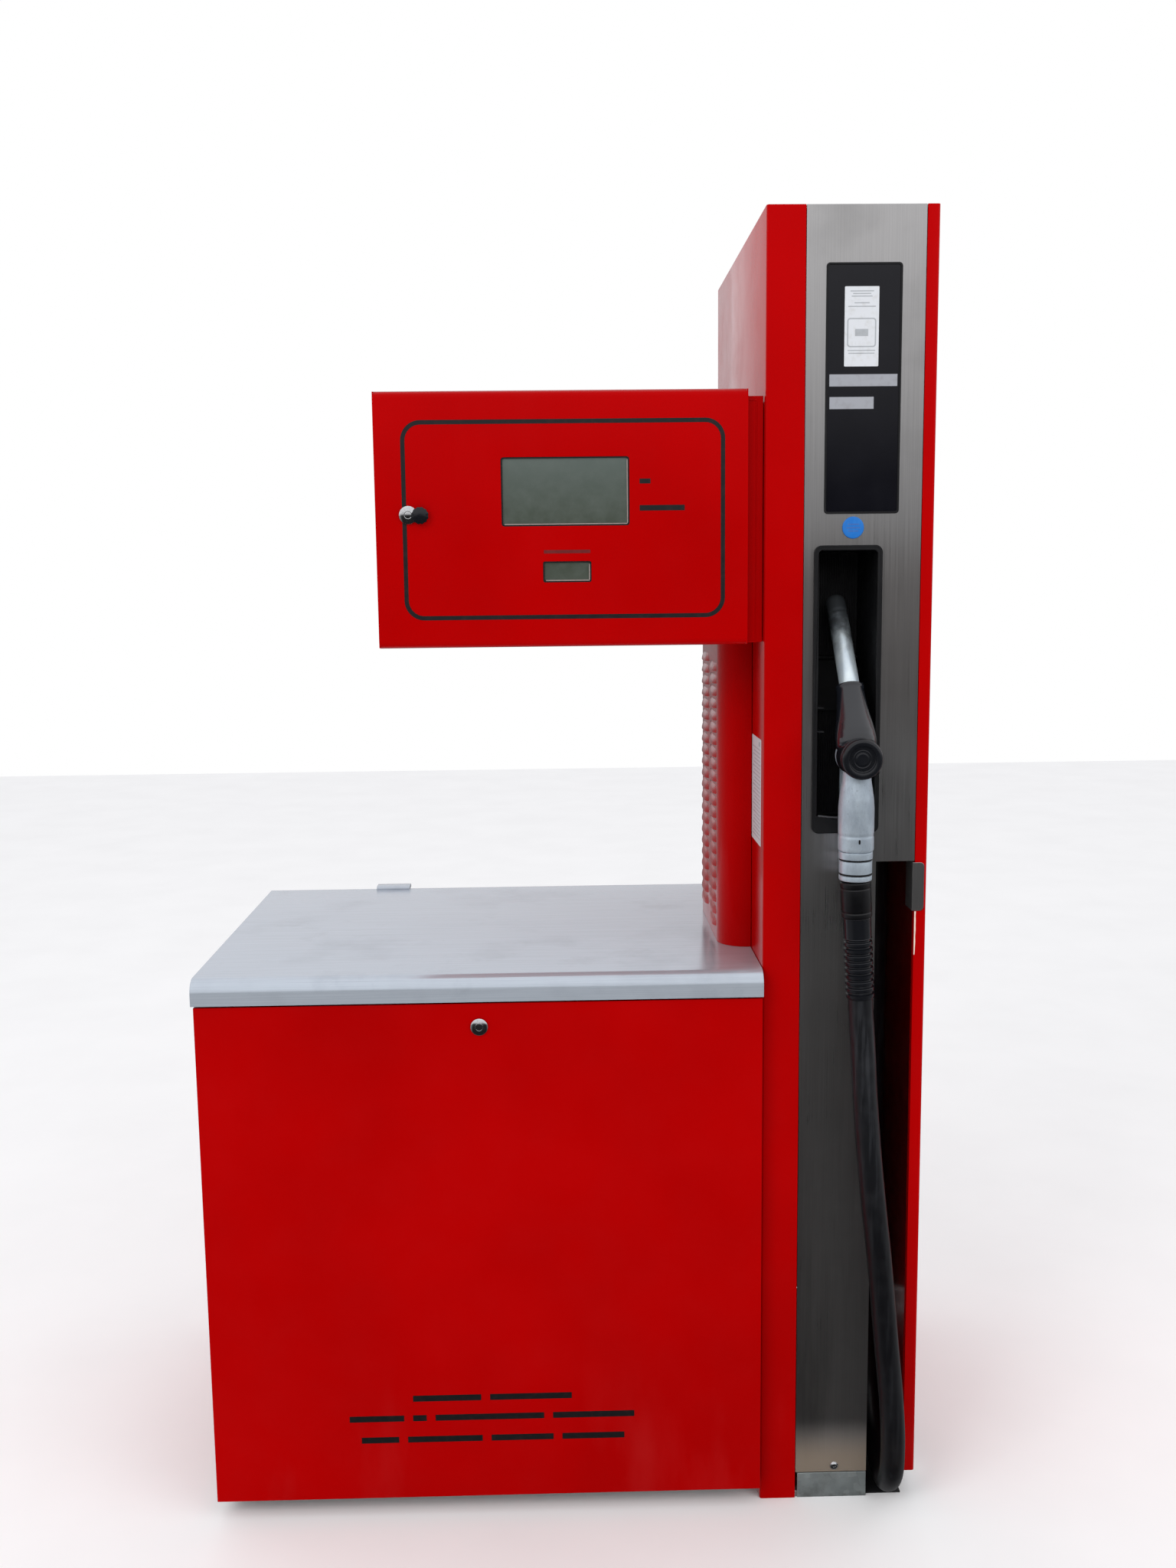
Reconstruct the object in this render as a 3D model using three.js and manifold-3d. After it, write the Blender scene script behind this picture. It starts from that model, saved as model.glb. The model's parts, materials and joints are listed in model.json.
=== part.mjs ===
// Truck fuel dispenser: a low pump cabinet, a tall hose column and a display head that
// reaches out from the column over the cabinet. Millimetres, +Z up, +Y to the rear.
// Everything is drawn in the column's frame: x = 0 is the column's left side, y = 0 its front,
// z = 0 the floor. The outer group then moves the whole so that its origin is the centre of
// the base.

import * as THREE from "three";
import { mergeVertices } from "three/addons/utils/BufferGeometryUtils.js";
import Module from "manifold-3d";

const wasm = await Module();
wasm.setup();

// Overall sizes
const columnWidth = 250;
const columnDepth = 620;
const columnHeight = 2000;
const cabinetWidth = 862;
const cabinetTopHeight = 882;
const cabinetProud = 20;
const headWidth = 545;
const headHeight = 371;

// Sheet metal and clearances
const sheet = 2;
const seam = 0.3;
const panelGap = 3;
const cornerRadius = 4;

// Column
const leftFlange = 57;
const rightFlange = 18.5;
const flangeLip = 12;
const fasciaGap = 0.8;
const fasciaSetback = 0.5;
const fasciaBottom = 44;
const slotWidth = 59.5;
const partitionGap = 4;

// Measured down from the top of the column
const glassDrop = 82;
const glassHeight = 352;
const glassWidth = 107;
const glassInset = 31;
const markerDrop = 21.6;
const markerRadius = 16;
const bootDrop = 47;
const headDrop = 254;
const slotDrop = 45;

// Nozzle boot
const bootHeight = 430;
const bootWidth = 101.5;
const bootRim = 7.5;
const bootWall = 2.5;
const bootDepth = 142;
const bootRimProud = 4;
const bootLipHeight = 20;

// Nozzle, measured from the bottom of its handle
const nozzleStandoff = 45;
const nozzleOffset = 8;
const handleRadius = 26.5;
const valveRadius = 29;
const valveHeight = 141;
const capThickness = 12.7;
const spoutRadius = 15;
const spoutBore = 12.2;
const swivelLength = 43.4;
const sleeveLength = 54;
const sleeveRadius = 23;
const restrictorLength = 125;
const restrictorRadius = 21.5;
const hoseLean = Math.atan(10 / 181);

// Hose and its sheave
const hoseDiameter = 38;
const sheaveRadius = 150;
const sheaveDrop = 210;
const sheaveSlack = 4;
const axleRadius = 12;

// Cabinet
const panelBottom = 31;
const topEdgeDrop = 40;
const topRollRadius = 22;
const topOverhang = 3;
const lockDrop = 79.6;
const lockRadius = 13.4;
const lockHeadProud = 4.6;
const barrelRadius = 9;
const camLength = 30;
const baseSetback = 46;
const basePlate = 6;
const railHeight = 24;

// Louvred post
const postReach = 51.4;
const postFront = 127;
const postDepth = 308;
const postRadius = 45;
const louvreRows = 22;
const louvrePitch = 20;
const louvreWidth = 82;

// Head
const headGap = 25;
const doorRoll = 11;
const doorReturn = 42;
const housingInset = 4;
const housingGap = 10;
const housingSetback = 14;
const housingTopDrop = 14.5;

// Display windows, measured from the left and the top of the door
const mainWindow = { left: 184, drop: 95.8, width: 187, height: 99 };
const priceWindow = { left: 243.5, drop: 246, width: 71, height: 30.5 };
const lensThickness = 2.6;
const lensOverlap = 6;
const headLock = { left: 48, drop: 177.2 };
const dustCapRadius = 10.4;
const dustCapOffset = 17.7;

// Drive inside the cabinet
const motorRadius = 88;
const motorPulleyRadius = 42;
const pumpPulleyRadius = 95;
const pulleyWidth = 30;
const driveFace = 230;
const pulleyY = 150;
const beltThickness = 8;
const pipeRadius = 21;
const pipeHeight = 560;
const conduitRadius = 11;

// Derived places
const slotLeft = columnWidth - rightFlange - slotWidth;
const slotRight = columnWidth - rightFlange;
const glassTop = columnHeight - glassDrop;
const glassBottom = glassTop - glassHeight;
const bootTop = glassBottom - bootDrop;
const bootBottom = bootTop - bootHeight;
const slotTop = bootBottom - slotDrop;
const bootRight = slotLeft + 2;
const bootLeft = bootRight - bootWidth;
const headTop = columnHeight - headDrop;
const headBottom = headTop - headHeight;
const cabinetRight = -panelGap;
const cabinetLeft = cabinetRight - cabinetWidth;
const lipBottom = cabinetTopHeight - topEdgeDrop;
const panelTop = lipBottom - panelGap;
const lockX = (cabinetLeft + cabinetRight) / 2;
const lockZ = cabinetTopHeight - lockDrop;
const headRight = -headGap;
const headLeft = headRight - headWidth;
const nozzleX = (bootLeft + bootRight) / 2 + nozzleOffset;
const nozzleY = -nozzleStandoff;
const handleBottom = bootBottom - 19;
const valveZ = handleBottom + valveHeight;
const valveFront = nozzleY - 31;
const nozzleReach = -(valveFront - seam - capThickness);
const sheaveZ = columnHeight - sheaveDrop;
const sheaveY = columnDepth / 2 + 25;
const pipeY = sheaveY + sheaveRadius;
const partitionX = slotLeft + partitionGap;
const hoseRunX = (partitionX + columnWidth) / 2;
const loopNotch = sheaveY - sheaveRadius + 30;

// Materials
const redEnamel = new THREE.MeshStandardMaterial({ color: 0xa60608, roughness: 0.25, metalness: 0.1 });
const stainless = new THREE.MeshStandardMaterial({ color: 0x8f8a82, roughness: 0.38, metalness: 1 });
const zinc = new THREE.MeshStandardMaterial({ color: 0x8d969a, roughness: 0.5, metalness: 0.9 });
const blackPlastic = new THREE.MeshStandardMaterial({ color: 0x141517, roughness: 0.5 });
const blackPaint = new THREE.MeshStandardMaterial({ color: 0x070708, roughness: 0.7 });
const darkGlass = new THREE.MeshStandardMaterial({ color: 0x08090b, roughness: 0.08 });
const displayGlass = new THREE.MeshStandardMaterial({ color: 0x5c6a62, roughness: 0.12 });
const chrome = new THREE.MeshStandardMaterial({ color: 0xc9cbcd, roughness: 0.12, metalness: 1 });
const castAluminium = new THREE.MeshStandardMaterial({ color: 0x9da3aa, roughness: 0.42, metalness: 1 });
const rubber = new THREE.MeshStandardMaterial({ color: 0x15171a, roughness: 0.72 });
const blueEnamel = new THREE.MeshStandardMaterial({ color: 0x1173c8, roughness: 0.35 });
const greyPaint = new THREE.MeshStandardMaterial({ color: 0x6f7579, roughness: 0.6 });
const castIron = new THREE.MeshStandardMaterial({ color: 0x3f4347, roughness: 0.7, metalness: 0.4 });

// ---- geometry helpers ----

// A closed geometry as a solid that can be joined and cut.
function toSolid(geometry) {
  const bare = geometry.clone();
  bare.deleteAttribute("normal");
  bare.deleteAttribute("uv");
  const merged = mergeVertices(bare, 1e-4);
  return new wasm.Manifold(
    new wasm.Mesh({
      numProp: 3,
      vertProperties: merged.attributes.position.array,
      triVerts: new Uint32Array(merged.index.array),
    }),
  );
}

function toGeometry(solid) {
  const found = solid.getMesh();
  const geometry = new THREE.BufferGeometry();
  geometry.setAttribute("position", new THREE.BufferAttribute(found.vertProperties, 3));
  geometry.setIndex(new THREE.BufferAttribute(found.triVerts, 1));
  const flat = geometry.toNonIndexed();
  flat.computeVertexNormals();
  return flat;
}

function join(...geometries) {
  return toGeometry(geometries.map(toSolid).reduce((a, b) => a.add(b)));
}

function cut(geometry, ...tools) {
  return toGeometry(tools.map(toSolid).reduce((a, b) => a.subtract(b), toSolid(geometry)));
}

function block(x0, x1, y0, y1, z0, z1) {
  const geometry = new THREE.BoxGeometry(x1 - x0, y1 - y0, z1 - z0);
  return geometry.translate((x0 + x1) / 2, (y0 + y1) / 2, (z0 + z1) / 2);
}

function outline(points) {
  return new THREE.Shape(points.map(([u, v]) => new THREE.Vector2(u, v)));
}

// A rectangle with rounded corners, from its edges.
function roundedRectangle(u0, u1, v0, v1, radius, Kind = THREE.Shape) {
  const shape = new Kind();
  shape.moveTo(u0 + radius, v0);
  shape.lineTo(u1 - radius, v0);
  shape.absarc(u1 - radius, v0 + radius, radius, -Math.PI / 2, 0);
  shape.lineTo(u1, v1 - radius);
  shape.absarc(u1 - radius, v1 - radius, radius, 0, Math.PI / 2);
  shape.lineTo(u0 + radius, v1);
  shape.absarc(u0 + radius, v1 - radius, radius, Math.PI / 2, Math.PI);
  shape.lineTo(u0, v0 + radius);
  shape.absarc(u0 + radius, v0 + radius, radius, Math.PI, 1.5 * Math.PI);
  return shape;
}

// A flat shape pushed along one axis. The shape is drawn in (x, y) for z, (y, z) for x and
// (x, z) for y.
function alongZ(shape, z0, z1, curveSegments = 3) {
  const geometry = new THREE.ExtrudeGeometry(shape, { depth: z1 - z0, bevelEnabled: false, curveSegments });
  return geometry.translate(0, 0, z0);
}

function alongX(shape, x0, x1, curveSegments = 3) {
  const geometry = new THREE.ExtrudeGeometry(shape, { depth: x1 - x0, bevelEnabled: false, curveSegments });
  const turn = new THREE.Matrix4().makeBasis(
    new THREE.Vector3(0, 1, 0),
    new THREE.Vector3(0, 0, 1),
    new THREE.Vector3(1, 0, 0),
  );
  return geometry.applyMatrix4(turn).translate(x0, 0, 0);
}

function alongY(shape, y0, y1, curveSegments = 3) {
  const geometry = new THREE.ExtrudeGeometry(shape, { depth: y1 - y0, bevelEnabled: false, curveSegments });
  return geometry.rotateX(Math.PI / 2).translate(0, y1, 0);
}

// A cylinder from one end to the other along an axis.
function rod(axis, radius, from, to, centre, sides = 20) {
  const geometry = new THREE.CylinderGeometry(radius, radius, to - from, sides);
  const middle = (from + to) / 2;
  if (axis === "x") return geometry.rotateZ(-Math.PI / 2).translate(middle, centre[0], centre[1]);
  if (axis === "y") return geometry.translate(centre[0], middle, centre[1]);
  return geometry.rotateX(Math.PI / 2).translate(centre[0], centre[1], middle);
}

// A profile of [radius, height] points turned about a vertical axis.
function turned(profile, x, y, sides = 24) {
  const points = profile.map(([r, h]) => new THREE.Vector2(r, h));
  return new THREE.LatheGeometry(points, sides).rotateX(Math.PI / 2).translate(x, y, 0);
}

// The same about an axis along Y: the heights run towards the rear.
function turnedY(profile, x, z, sides = 24) {
  const points = profile.map(([r, h]) => new THREE.Vector2(r, h));
  return new THREE.LatheGeometry(points, sides).translate(x, 0, z);
}

function circle(radius, sides) {
  const corner = (i) => [
    radius * Math.cos((2 * Math.PI * i) / sides),
    radius * Math.sin((2 * Math.PI * i) / sides),
  ];
  return outline(Array.from({ length: sides }, (_, i) => corner(i)));
}

// A round tube along a smooth curve through the points.
function tube(points, radius, sides, steps) {
  const curve = new THREE.CatmullRomCurve3(points.map((p) => new THREE.Vector3(...p)), false, "centripetal");
  return new THREE.ExtrudeGeometry(circle(radius, sides), { steps, extrudePath: curve, bevelEnabled: false });
}

// A front piece turned into the matching rear one.
function toRear(geometry) {
  const plain = geometry.index ? geometry.toNonIndexed() : geometry.clone();
  plain.scale(1, -1, 1).translate(0, columnDepth, 0);
  const position = plain.attributes.position;
  for (let i = 0; i < position.count; i += 3) {
    const second = new THREE.Vector3().fromBufferAttribute(position, i + 1);
    const third = new THREE.Vector3().fromBufferAttribute(position, i + 2);
    position.setXYZ(i + 1, third.x, third.y, third.z);
    position.setXYZ(i + 2, second.x, second.y, second.z);
  }
  plain.computeVertexNormals();
  return plain;
}

const dispenser = new THREE.Group();
const leftReach = cabinetWidth + panelGap + topOverhang;
const rearReach = columnDepth + cabinetProud + lockHeadProud;
dispenser.position.set((leftReach - columnWidth) / 2, (nozzleReach - rearReach) / 2, 0);

function place(name, geometry, material, group = dispenser) {
  const mesh = new THREE.Mesh(geometry, material);
  mesh.name = name;
  group.add(mesh);
  return mesh;
}

// ---- column ----

// Plan of a side panel: a web, a flange at each end and a short lip turned inwards.
function sidePanelPlan(flange, mirror) {
  const at = (x, y) => [mirror ? columnWidth - x : x, y];
  const r = cornerRadius;
  const arc = (cx, cy, radius, from) =>
    [0, 1, 2, 3].map((i) => {
      const angle = from + (i * Math.PI) / 6;
      return at(cx + radius * Math.cos(angle), cy + radius * Math.sin(angle));
    });
  const inner = r - sheet;
  const far = columnDepth;
  return outline([
    at(flange, 0),
    at(flange, flangeLip),
    at(flange - sheet, flangeLip),
    at(flange - sheet, sheet),
    ...arc(r, r, inner, -Math.PI / 2 - Math.PI / 2).reverse(),
    ...arc(r, far - r, inner, Math.PI / 2).reverse(),
    at(flange - sheet, far - sheet),
    at(flange - sheet, far - flangeLip),
    at(flange, far - flangeLip),
    at(flange, far),
    ...arc(r, far - r, r, Math.PI / 2),
    ...arc(r, r, r, Math.PI),
  ]);
}

const pipeHole = (x0, x1, play = 7) => rod("x", pipeRadius + play, x0, x1, [pipeY, pipeHeight], 16);

place(
  "column_left_panel",
  cut(alongZ(sidePanelPlan(leftFlange, false), 0, columnHeight), pipeHole(-5, 10)),
  redEnamel,
);
place(
  "column_right_panel",
  alongZ(sidePanelPlan(rightFlange, true), fasciaBottom - 1, columnHeight),
  redEnamel,
);

const fasciaLeft = leftFlange + fasciaGap;
const fasciaRight = slotRight - fasciaGap;
const fasciaBack = fasciaSetback + sheet;

// Stainless front plate: wide above the slot, narrow beside it, with returns along the slot.
function fascia() {
  const shape = outline([
    [fasciaLeft, fasciaBottom],
    [slotLeft, fasciaBottom],
    [slotLeft, slotTop],
    [fasciaRight, slotTop],
    [fasciaRight, columnHeight],
    [fasciaLeft, columnHeight],
  ]);
  const glassLeft = leftFlange + glassInset;
  const glassRight = glassLeft + glassWidth + 2 * seam;
  shape.holes.push(
    roundedRectangle(glassLeft, glassRight, glassBottom - seam, glassTop + seam, 4, THREE.Path),
  );
  const rim = bootRim - bootWall - seam;
  shape.holes.push(
    roundedRectangle(bootLeft + rim, bootRight - rim, bootBottom + rim, bootTop - rim, 8, THREE.Path),
  );
  const returnDepth = 30;
  return join(
    alongY(shape, fasciaSetback, fasciaBack),
    block(slotLeft - sheet, slotLeft, fasciaSetback + 1, returnDepth, fasciaBottom, slotTop + sheet),
    block(slotLeft - sheet, fasciaRight - 3, fasciaSetback + 1, returnDepth, slotTop, slotTop + sheet),
    block(fasciaLeft, fasciaRight, fasciaSetback + 1, flangeLip, columnHeight - sheet, columnHeight),
  );
}
place("column_fascia", fascia(), stainless);

place(
  "column_rear_panel",
  join(
    block(
      fasciaLeft,
      fasciaRight,
      columnDepth - fasciaBack,
      columnDepth - fasciaSetback,
      fasciaBottom,
      columnHeight,
    ),
    block(
      fasciaLeft,
      fasciaRight,
      columnDepth - flangeLip,
      columnDepth - fasciaSetback - 1,
      columnHeight - sheet,
      columnHeight,
    ),
  ),
  stainless,
);

// The cap closes the top between the side panels and steps round the fascia's top edge.
function columnCap() {
  const edge = sheet + seam;
  const innerLeft = leftFlange - sheet - seam;
  const innerRight = slotRight + sheet + seam;
  const step = flangeLip + seam;
  return alongZ(
    outline([
      [edge, edge],
      [innerLeft, edge],
      [innerLeft, step],
      [innerRight, step],
      [innerRight, edge],
      [columnWidth - edge, edge],
      [columnWidth - edge, columnDepth - edge],
      [innerRight, columnDepth - edge],
      [innerRight, columnDepth - step],
      [innerLeft, columnDepth - step],
      [innerLeft, columnDepth - edge],
      [edge, columnDepth - edge],
    ]),
    columnHeight - 5,
    columnHeight - 2,
  );
}
place("column_cap", cut(columnCap(), ...cornerRelief()), redEnamel);

// The side panels' inner corners are round, so the cap and the base leave them free.
function cornerRelief() {
  const size = 3;
  return [0, 1].flatMap((i) =>
    [0, 1].map((j) => {
      const x = i ? columnWidth - size : 0;
      const y = j ? columnDepth - size : 0;
      return block(x, x + size, y, y + size, -1, columnHeight + 1);
    }),
  );
}

// Zinc plated foot: a floor plate with a notch for the hose loop, the front upstand that
// shows under the fascia, and a rear and a right upstand that hold the panels.
function columnBase() {
  const edge = sheet + seam;
  const lipClear = flangeLip + seam;
  const thickness = 10;
  const plate = alongZ(
    outline([
      [edge, lipClear],
      [leftFlange + seam, lipClear],
      [leftFlange + seam, edge + 1],
      [slotLeft, edge + 1],
      [slotLeft, loopNotch],
      [columnWidth - edge, loopNotch],
      [columnWidth - edge, columnDepth - edge - 1],
      [leftFlange + seam, columnDepth - edge - 1],
      [leftFlange + seam, columnDepth - lipClear],
      [edge, columnDepth - lipClear],
    ]),
    0,
    thickness,
  );
  const upstandTop = fasciaBottom - 2;
  const solid = join(
    plate,
    block(leftFlange + 4, slotLeft, 1, 5, 0, upstandTop),
    block(leftFlange + 4, slotRight - 4, columnDepth - 5, columnDepth - 1, 0, upstandTop),
    block(columnWidth - edge - 4, columnWidth - edge, loopNotch, columnDepth - 30, 0, 70),
  );
  const anchor = (x, y) => rod("z", 7, -1, thickness + 1, [x, y], 12);
  return cut(
    solid,
    anchor(32, 60),
    anchor(32, columnDepth - 60),
    anchor(130, 60),
    anchor(columnWidth - 40, columnDepth - 60),
    ...cornerRelief(),
  );
}
place("column_base", columnBase(), zinc);

place(
  "hose_channel_partition",
  cut(
    block(partitionX, partitionX + sheet, 33, columnDepth - flangeLip - 3, 12, columnHeight - 12),
    pipeHole(partitionX - 2, partitionX + 4, 18),
  ),
  blackPaint,
);

place(
  "grade_panel",
  alongY(
    roundedRectangle(
      leftFlange + glassInset + seam,
      leftFlange + glassInset + seam + glassWidth,
      glassBottom,
      glassTop,
      3.7,
    ),
    fasciaSetback + 0.4,
    fasciaSetback + 4.4,
  ),
  darkGlass,
);

const markerZ = glassBottom - markerDrop;
const markerX = bootLeft + 57.4;
place(
  "grade_marker",
  turnedY(
    [
      [0, -1.6],
      [markerRadius - 1.5, -1.6],
      [markerRadius, -0.8],
      [markerRadius, fasciaSetback - seam],
      [0, fasciaSetback - seam],
    ],
    markerX,
    markerZ,
  ),
  blueEnamel,
);

const screwRadius = 7;
place(
  "fascia_screw",
  turnedY(
    [
      [0, -3.2],
      [3.2, -2.8],
      [5.6, -1.7],
      [screwRadius, fasciaSetback - seam],
      [0, fasciaSetback - seam],
    ],
    (leftFlange + slotLeft) / 2 + 5.5,
    fasciaBottom + 10.4,
    16,
  ),
  stainless,
);

// Wear plate round the front edge of the slot where the hose is pulled out.
function hoseGuide() {
  const top = slotTop - 2;
  const bottom = top - 75;
  const thickness = 1.6;
  const front = -seam - thickness;
  const left = slotRight - seam - thickness - 2;
  const face = roundedRectangle(left, columnWidth - 4.4, bottom, top, 6);
  return join(
    alongY(face, front, -seam),
    block(left, left + 7, front, -seam, bottom, top),
    block(left, left + thickness, front, 40, bottom, top),
  );
}
place("hose_guide_plate", hoseGuide(), stainless);

// ---- nozzle boot ----

function nozzleBoot() {
  const rimBack = fasciaSetback - seam;
  const inner = [bootLeft + bootRim, bootRight - bootRim, bootBottom + bootRim, bootTop - bootRim];
  const wall = [inner[0] - bootWall, inner[1] + bootWall, inner[2] - bootWall, inner[3] + bootWall];
  const outer = join(
    alongY(roundedRectangle(bootLeft, bootRight, bootBottom, bootTop, 11), -bootRimProud, rimBack),
    alongY(roundedRectangle(...wall, 8), -bootRimProud, bootDepth),
  );
  const hollow = alongY(roundedRectangle(...inner, 6), -bootRimProud - 1, bootDepth - bootWall);
  // The lip dips in the middle, where the nozzle's guard rests on it.
  const lip = new THREE.Shape();
  lip.moveTo(inner[0] - 1, inner[2] + 5);
  lip.lineTo(inner[0] + 4, inner[2] - 1);
  lip.lineTo(inner[1] - 4, inner[2] - 1);
  lip.lineTo(inner[1] + 1, inner[2] + 5);
  lip.lineTo(inner[1] + 1, inner[2] + bootLipHeight);
  lip.quadraticCurveTo(
    (inner[0] + inner[1]) / 2,
    inner[2] + bootLipHeight - 14,
    inner[0] - 1,
    inner[2] + bootLipHeight,
  );
  const ledge = (z) => block(inner[0] - 1, inner[0] + 4, 30, bootDepth - 1, z, z + 3);
  return join(
    cut(outer, hollow),
    alongY(lip, -bootRimProud, 2, 8),
    ledge(bootBottom + 147),
    ledge(bootBottom + 184),
  );
}
place("nozzle_boot", nozzleBoot(), blackPlastic);

const flapWidth = 50;
const flapTop = bootBottom + 258;
const flapY = bootDepth - bootWall - 8;
place(
  "boot_switch_flap",
  join(
    block(nozzleX - 33, nozzleX - 33 + flapWidth, flapY - 1.5, flapY + 1.5, flapTop - 84, flapTop),
    rod("x", 4, bootLeft + bootRim + seam, bootRight - bootRim - seam, [flapY, flapTop], 12),
  ),
  blackPlastic,
);

// ---- nozzle ----

const guardBar = 6;
const guardWidth = 12;
const lever = { y: nozzleY + 41, z: handleBottom + 139, width: 14, pin: 2.4 };
const latch = { y: nozzleY + 85, z: handleBottom + 53, width: 8, pin: 1.8 };
const pinPlay = 0.3;

// Two ears beside a moving piece and the pin between them.
function pivotEars({ y, z, width, pin }, thickness, y0, y1, z0, z1) {
  const inner = width / 2 + pinPlay;
  const outer = inner + thickness;
  return [
    block(nozzleX - outer, nozzleX - inner, y0, y1, z0, z1),
    block(nozzleX + inner, nozzleX + outer, y0, y1, z0, z1),
    rod("x", pin, nozzleX - outer + 0.5, nozzleX + outer - 0.5, [y, z], 10),
  ];
}

// Handle, valve housing and the lever guard behind them, cast in one piece.
function nozzleBody() {
  const z = handleBottom;
  const handle = turned(
    [
      [0, z],
      [handleRadius - 0.8, z],
      [handleRadius, z + 3],
      [handleRadius, z + 66],
      [handleRadius - 1.2, z + 82],
      [handleRadius - 4.4, z + 104],
      [handleRadius - 5.8, z + 118],
      [handleRadius - 5.8, z + 135],
      [0, z + 135],
    ],
    nozzleX,
    nozzleY,
  );
  const housing = turnedY(
    [
      [0, valveFront],
      [valveRadius, valveFront],
      [valveRadius, nozzleY + 22],
      [valveRadius - 7, nozzleY + 31],
      [0, nozzleY + 31],
    ],
    nozzleX,
    valveZ,
  );
  const reach = 56;
  const low = z + 44;
  const high = z + 156;
  const back = nozzleY + 45 + reach;
  const guard = outline([
    [nozzleY + 20, low - guardBar / 2],
    [back - 10, low - guardBar / 2],
    [back, low + 8],
    [back + 3, low + 60],
    [back - 24, high + guardBar / 2],
    [nozzleY + 22, high + guardBar / 2],
    [nozzleY + 22, high - guardBar / 2],
    [back - 27, high - guardBar / 2],
    [back - 3, low + 58],
    [back - 6, low + 10],
    [back - 13, low + guardBar / 2],
    [nozzleY + 20, low + guardBar / 2],
  ]);
  return join(
    handle,
    housing,
    alongX(guard, nozzleX - guardWidth / 2, nozzleX + guardWidth / 2),
    block(nozzleX - 10, nozzleX + 10, nozzleY + 24, lever.y + 4, high - guardBar / 2, high + 1),
    ...pivotEars(lever, 3, nozzleY + 24, lever.y + 4, lever.z - 5, high - 1),
    ...pivotEars(latch, 2, latch.y - 4, latch.y + 4, low, latch.z + 4),
  );
}
const nozzleBodyGeometry = nozzleBody();
place("nozzle_body", nozzleBodyGeometry, castAluminium);

const spoutPath = [
  [nozzleX, nozzleY + 13, valveZ + 41],
  [nozzleX - 1, nozzleY + 31, valveZ + 70],
  [nozzleX - 2, nozzleY + 50, valveZ + 99],
  [nozzleX - 4, nozzleY + 83, valveZ + 145],
  [nozzleX - 5.5, nozzleY + 117, valveZ + 190],
  [nozzleX - 6.5, nozzleY + 149, valveZ + 226],
];
const boreStart = 3;
const beyondTip = [nozzleX - 7.2, nozzleY + 166, valveZ + 245];
place(
  "nozzle_spout",
  cut(
    tube(spoutPath, spoutRadius, 14, 14),
    tube([...spoutPath.slice(boreStart), beyondTip], spoutBore, 12, 7),
  ),
  castAluminium,
);

// Soft cover over the root of the spout: wide over the valve housing, narrow at its top.
function scuffCover() {
  const foot = new THREE.Vector3(nozzleX, nozzleY + 4, valveZ + 12);
  const top = new THREE.Vector3(...spoutPath[2]);
  const axis = top.clone().sub(foot);
  const cone = new THREE.CylinderGeometry(spoutRadius + 5, valveRadius + 1.5, axis.length(), 18);
  const upright = new THREE.Vector3(0, 1, 0);
  cone.applyQuaternion(new THREE.Quaternion().setFromUnitVectors(upright, axis.clone().normalize()));
  cone.translate((foot.x + top.x) / 2, (foot.y + top.y) / 2, (foot.z + top.z) / 2);
  const clearance = 0.5;
  const housing = rod("y", valveRadius + clearance, valveFront - 20, nozzleY + 60, [nozzleX, valveZ], 24);
  const below = block(nozzleX - 60, nozzleX + 60, nozzleY - 60, nozzleY + 80, valveZ - 60, valveZ + 18);
  const beyond = [spoutPath[0][0], spoutPath[0][1] - 22, spoutPath[0][2] - 34];
  const passage = tube([beyond, ...spoutPath.slice(0, 5)], spoutRadius + clearance, 14, 14);
  return cut(cone, housing, below, passage);
}
place("nozzle_scuff_cover", scuffCover(), blackPlastic);

// Round cap on the front of the valve housing, with a raised rim and a ring inside it.
const capBack = valveFront - seam;
place(
  "nozzle_valve_cap",
  turnedY(
    [
      [0, capBack - capThickness + 3],
      [9, capBack - capThickness + 2.6],
      [10, capBack - capThickness + 4],
      [19, capBack - capThickness + 4],
      [20, capBack - capThickness + 1],
      [25, capBack - capThickness],
      [28, capBack - capThickness + 1.5],
      [30, capBack - capThickness + 5],
      [30, capBack - 3],
      [28.5, capBack],
      [0, capBack],
    ],
    nozzleX,
    valveZ,
    28,
  ),
  blackPlastic,
);

function trigger() {
  const { y, z, width, pin } = lever;
  const shape = outline([
    [y - 6, z + 3],
    [y + 1, z + 8],
    [y + 7, z + 2],
    [y + 13, z - 24],
    [y + 26, z - 74],
    [y + 26, z - 83],
    [y + 19, z - 85],
    [y + 16, z - 74],
    [y + 6, z - 29],
    [y - 4, z - 5],
  ]);
  return cut(
    alongX(shape, nozzleX - width / 2, nozzleX + width / 2),
    rod("x", pin + pinPlay, nozzleX - 10, nozzleX + 10, [y, z], 10),
  );
}
place("nozzle_trigger", trigger(), blackPlastic);

function holdLatch() {
  const { y, z, width, pin } = latch;
  const shape = outline([
    [y - 4, z - 4.5],
    [y + 4, z - 4.5],
    [y + 2, z + 11],
    [y - 5, z + 23],
    [y - 9, z + 20],
    [y - 5, z + 9],
  ]);
  return cut(
    alongX(shape, nozzleX - width / 2, nozzleX + width / 2),
    rod("x", pin + pinPlay, nozzleX - 10, nozzleX + 10, [y, z], 10),
  );
}
place("nozzle_hold_latch", holdLatch(), zinc);

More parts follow.
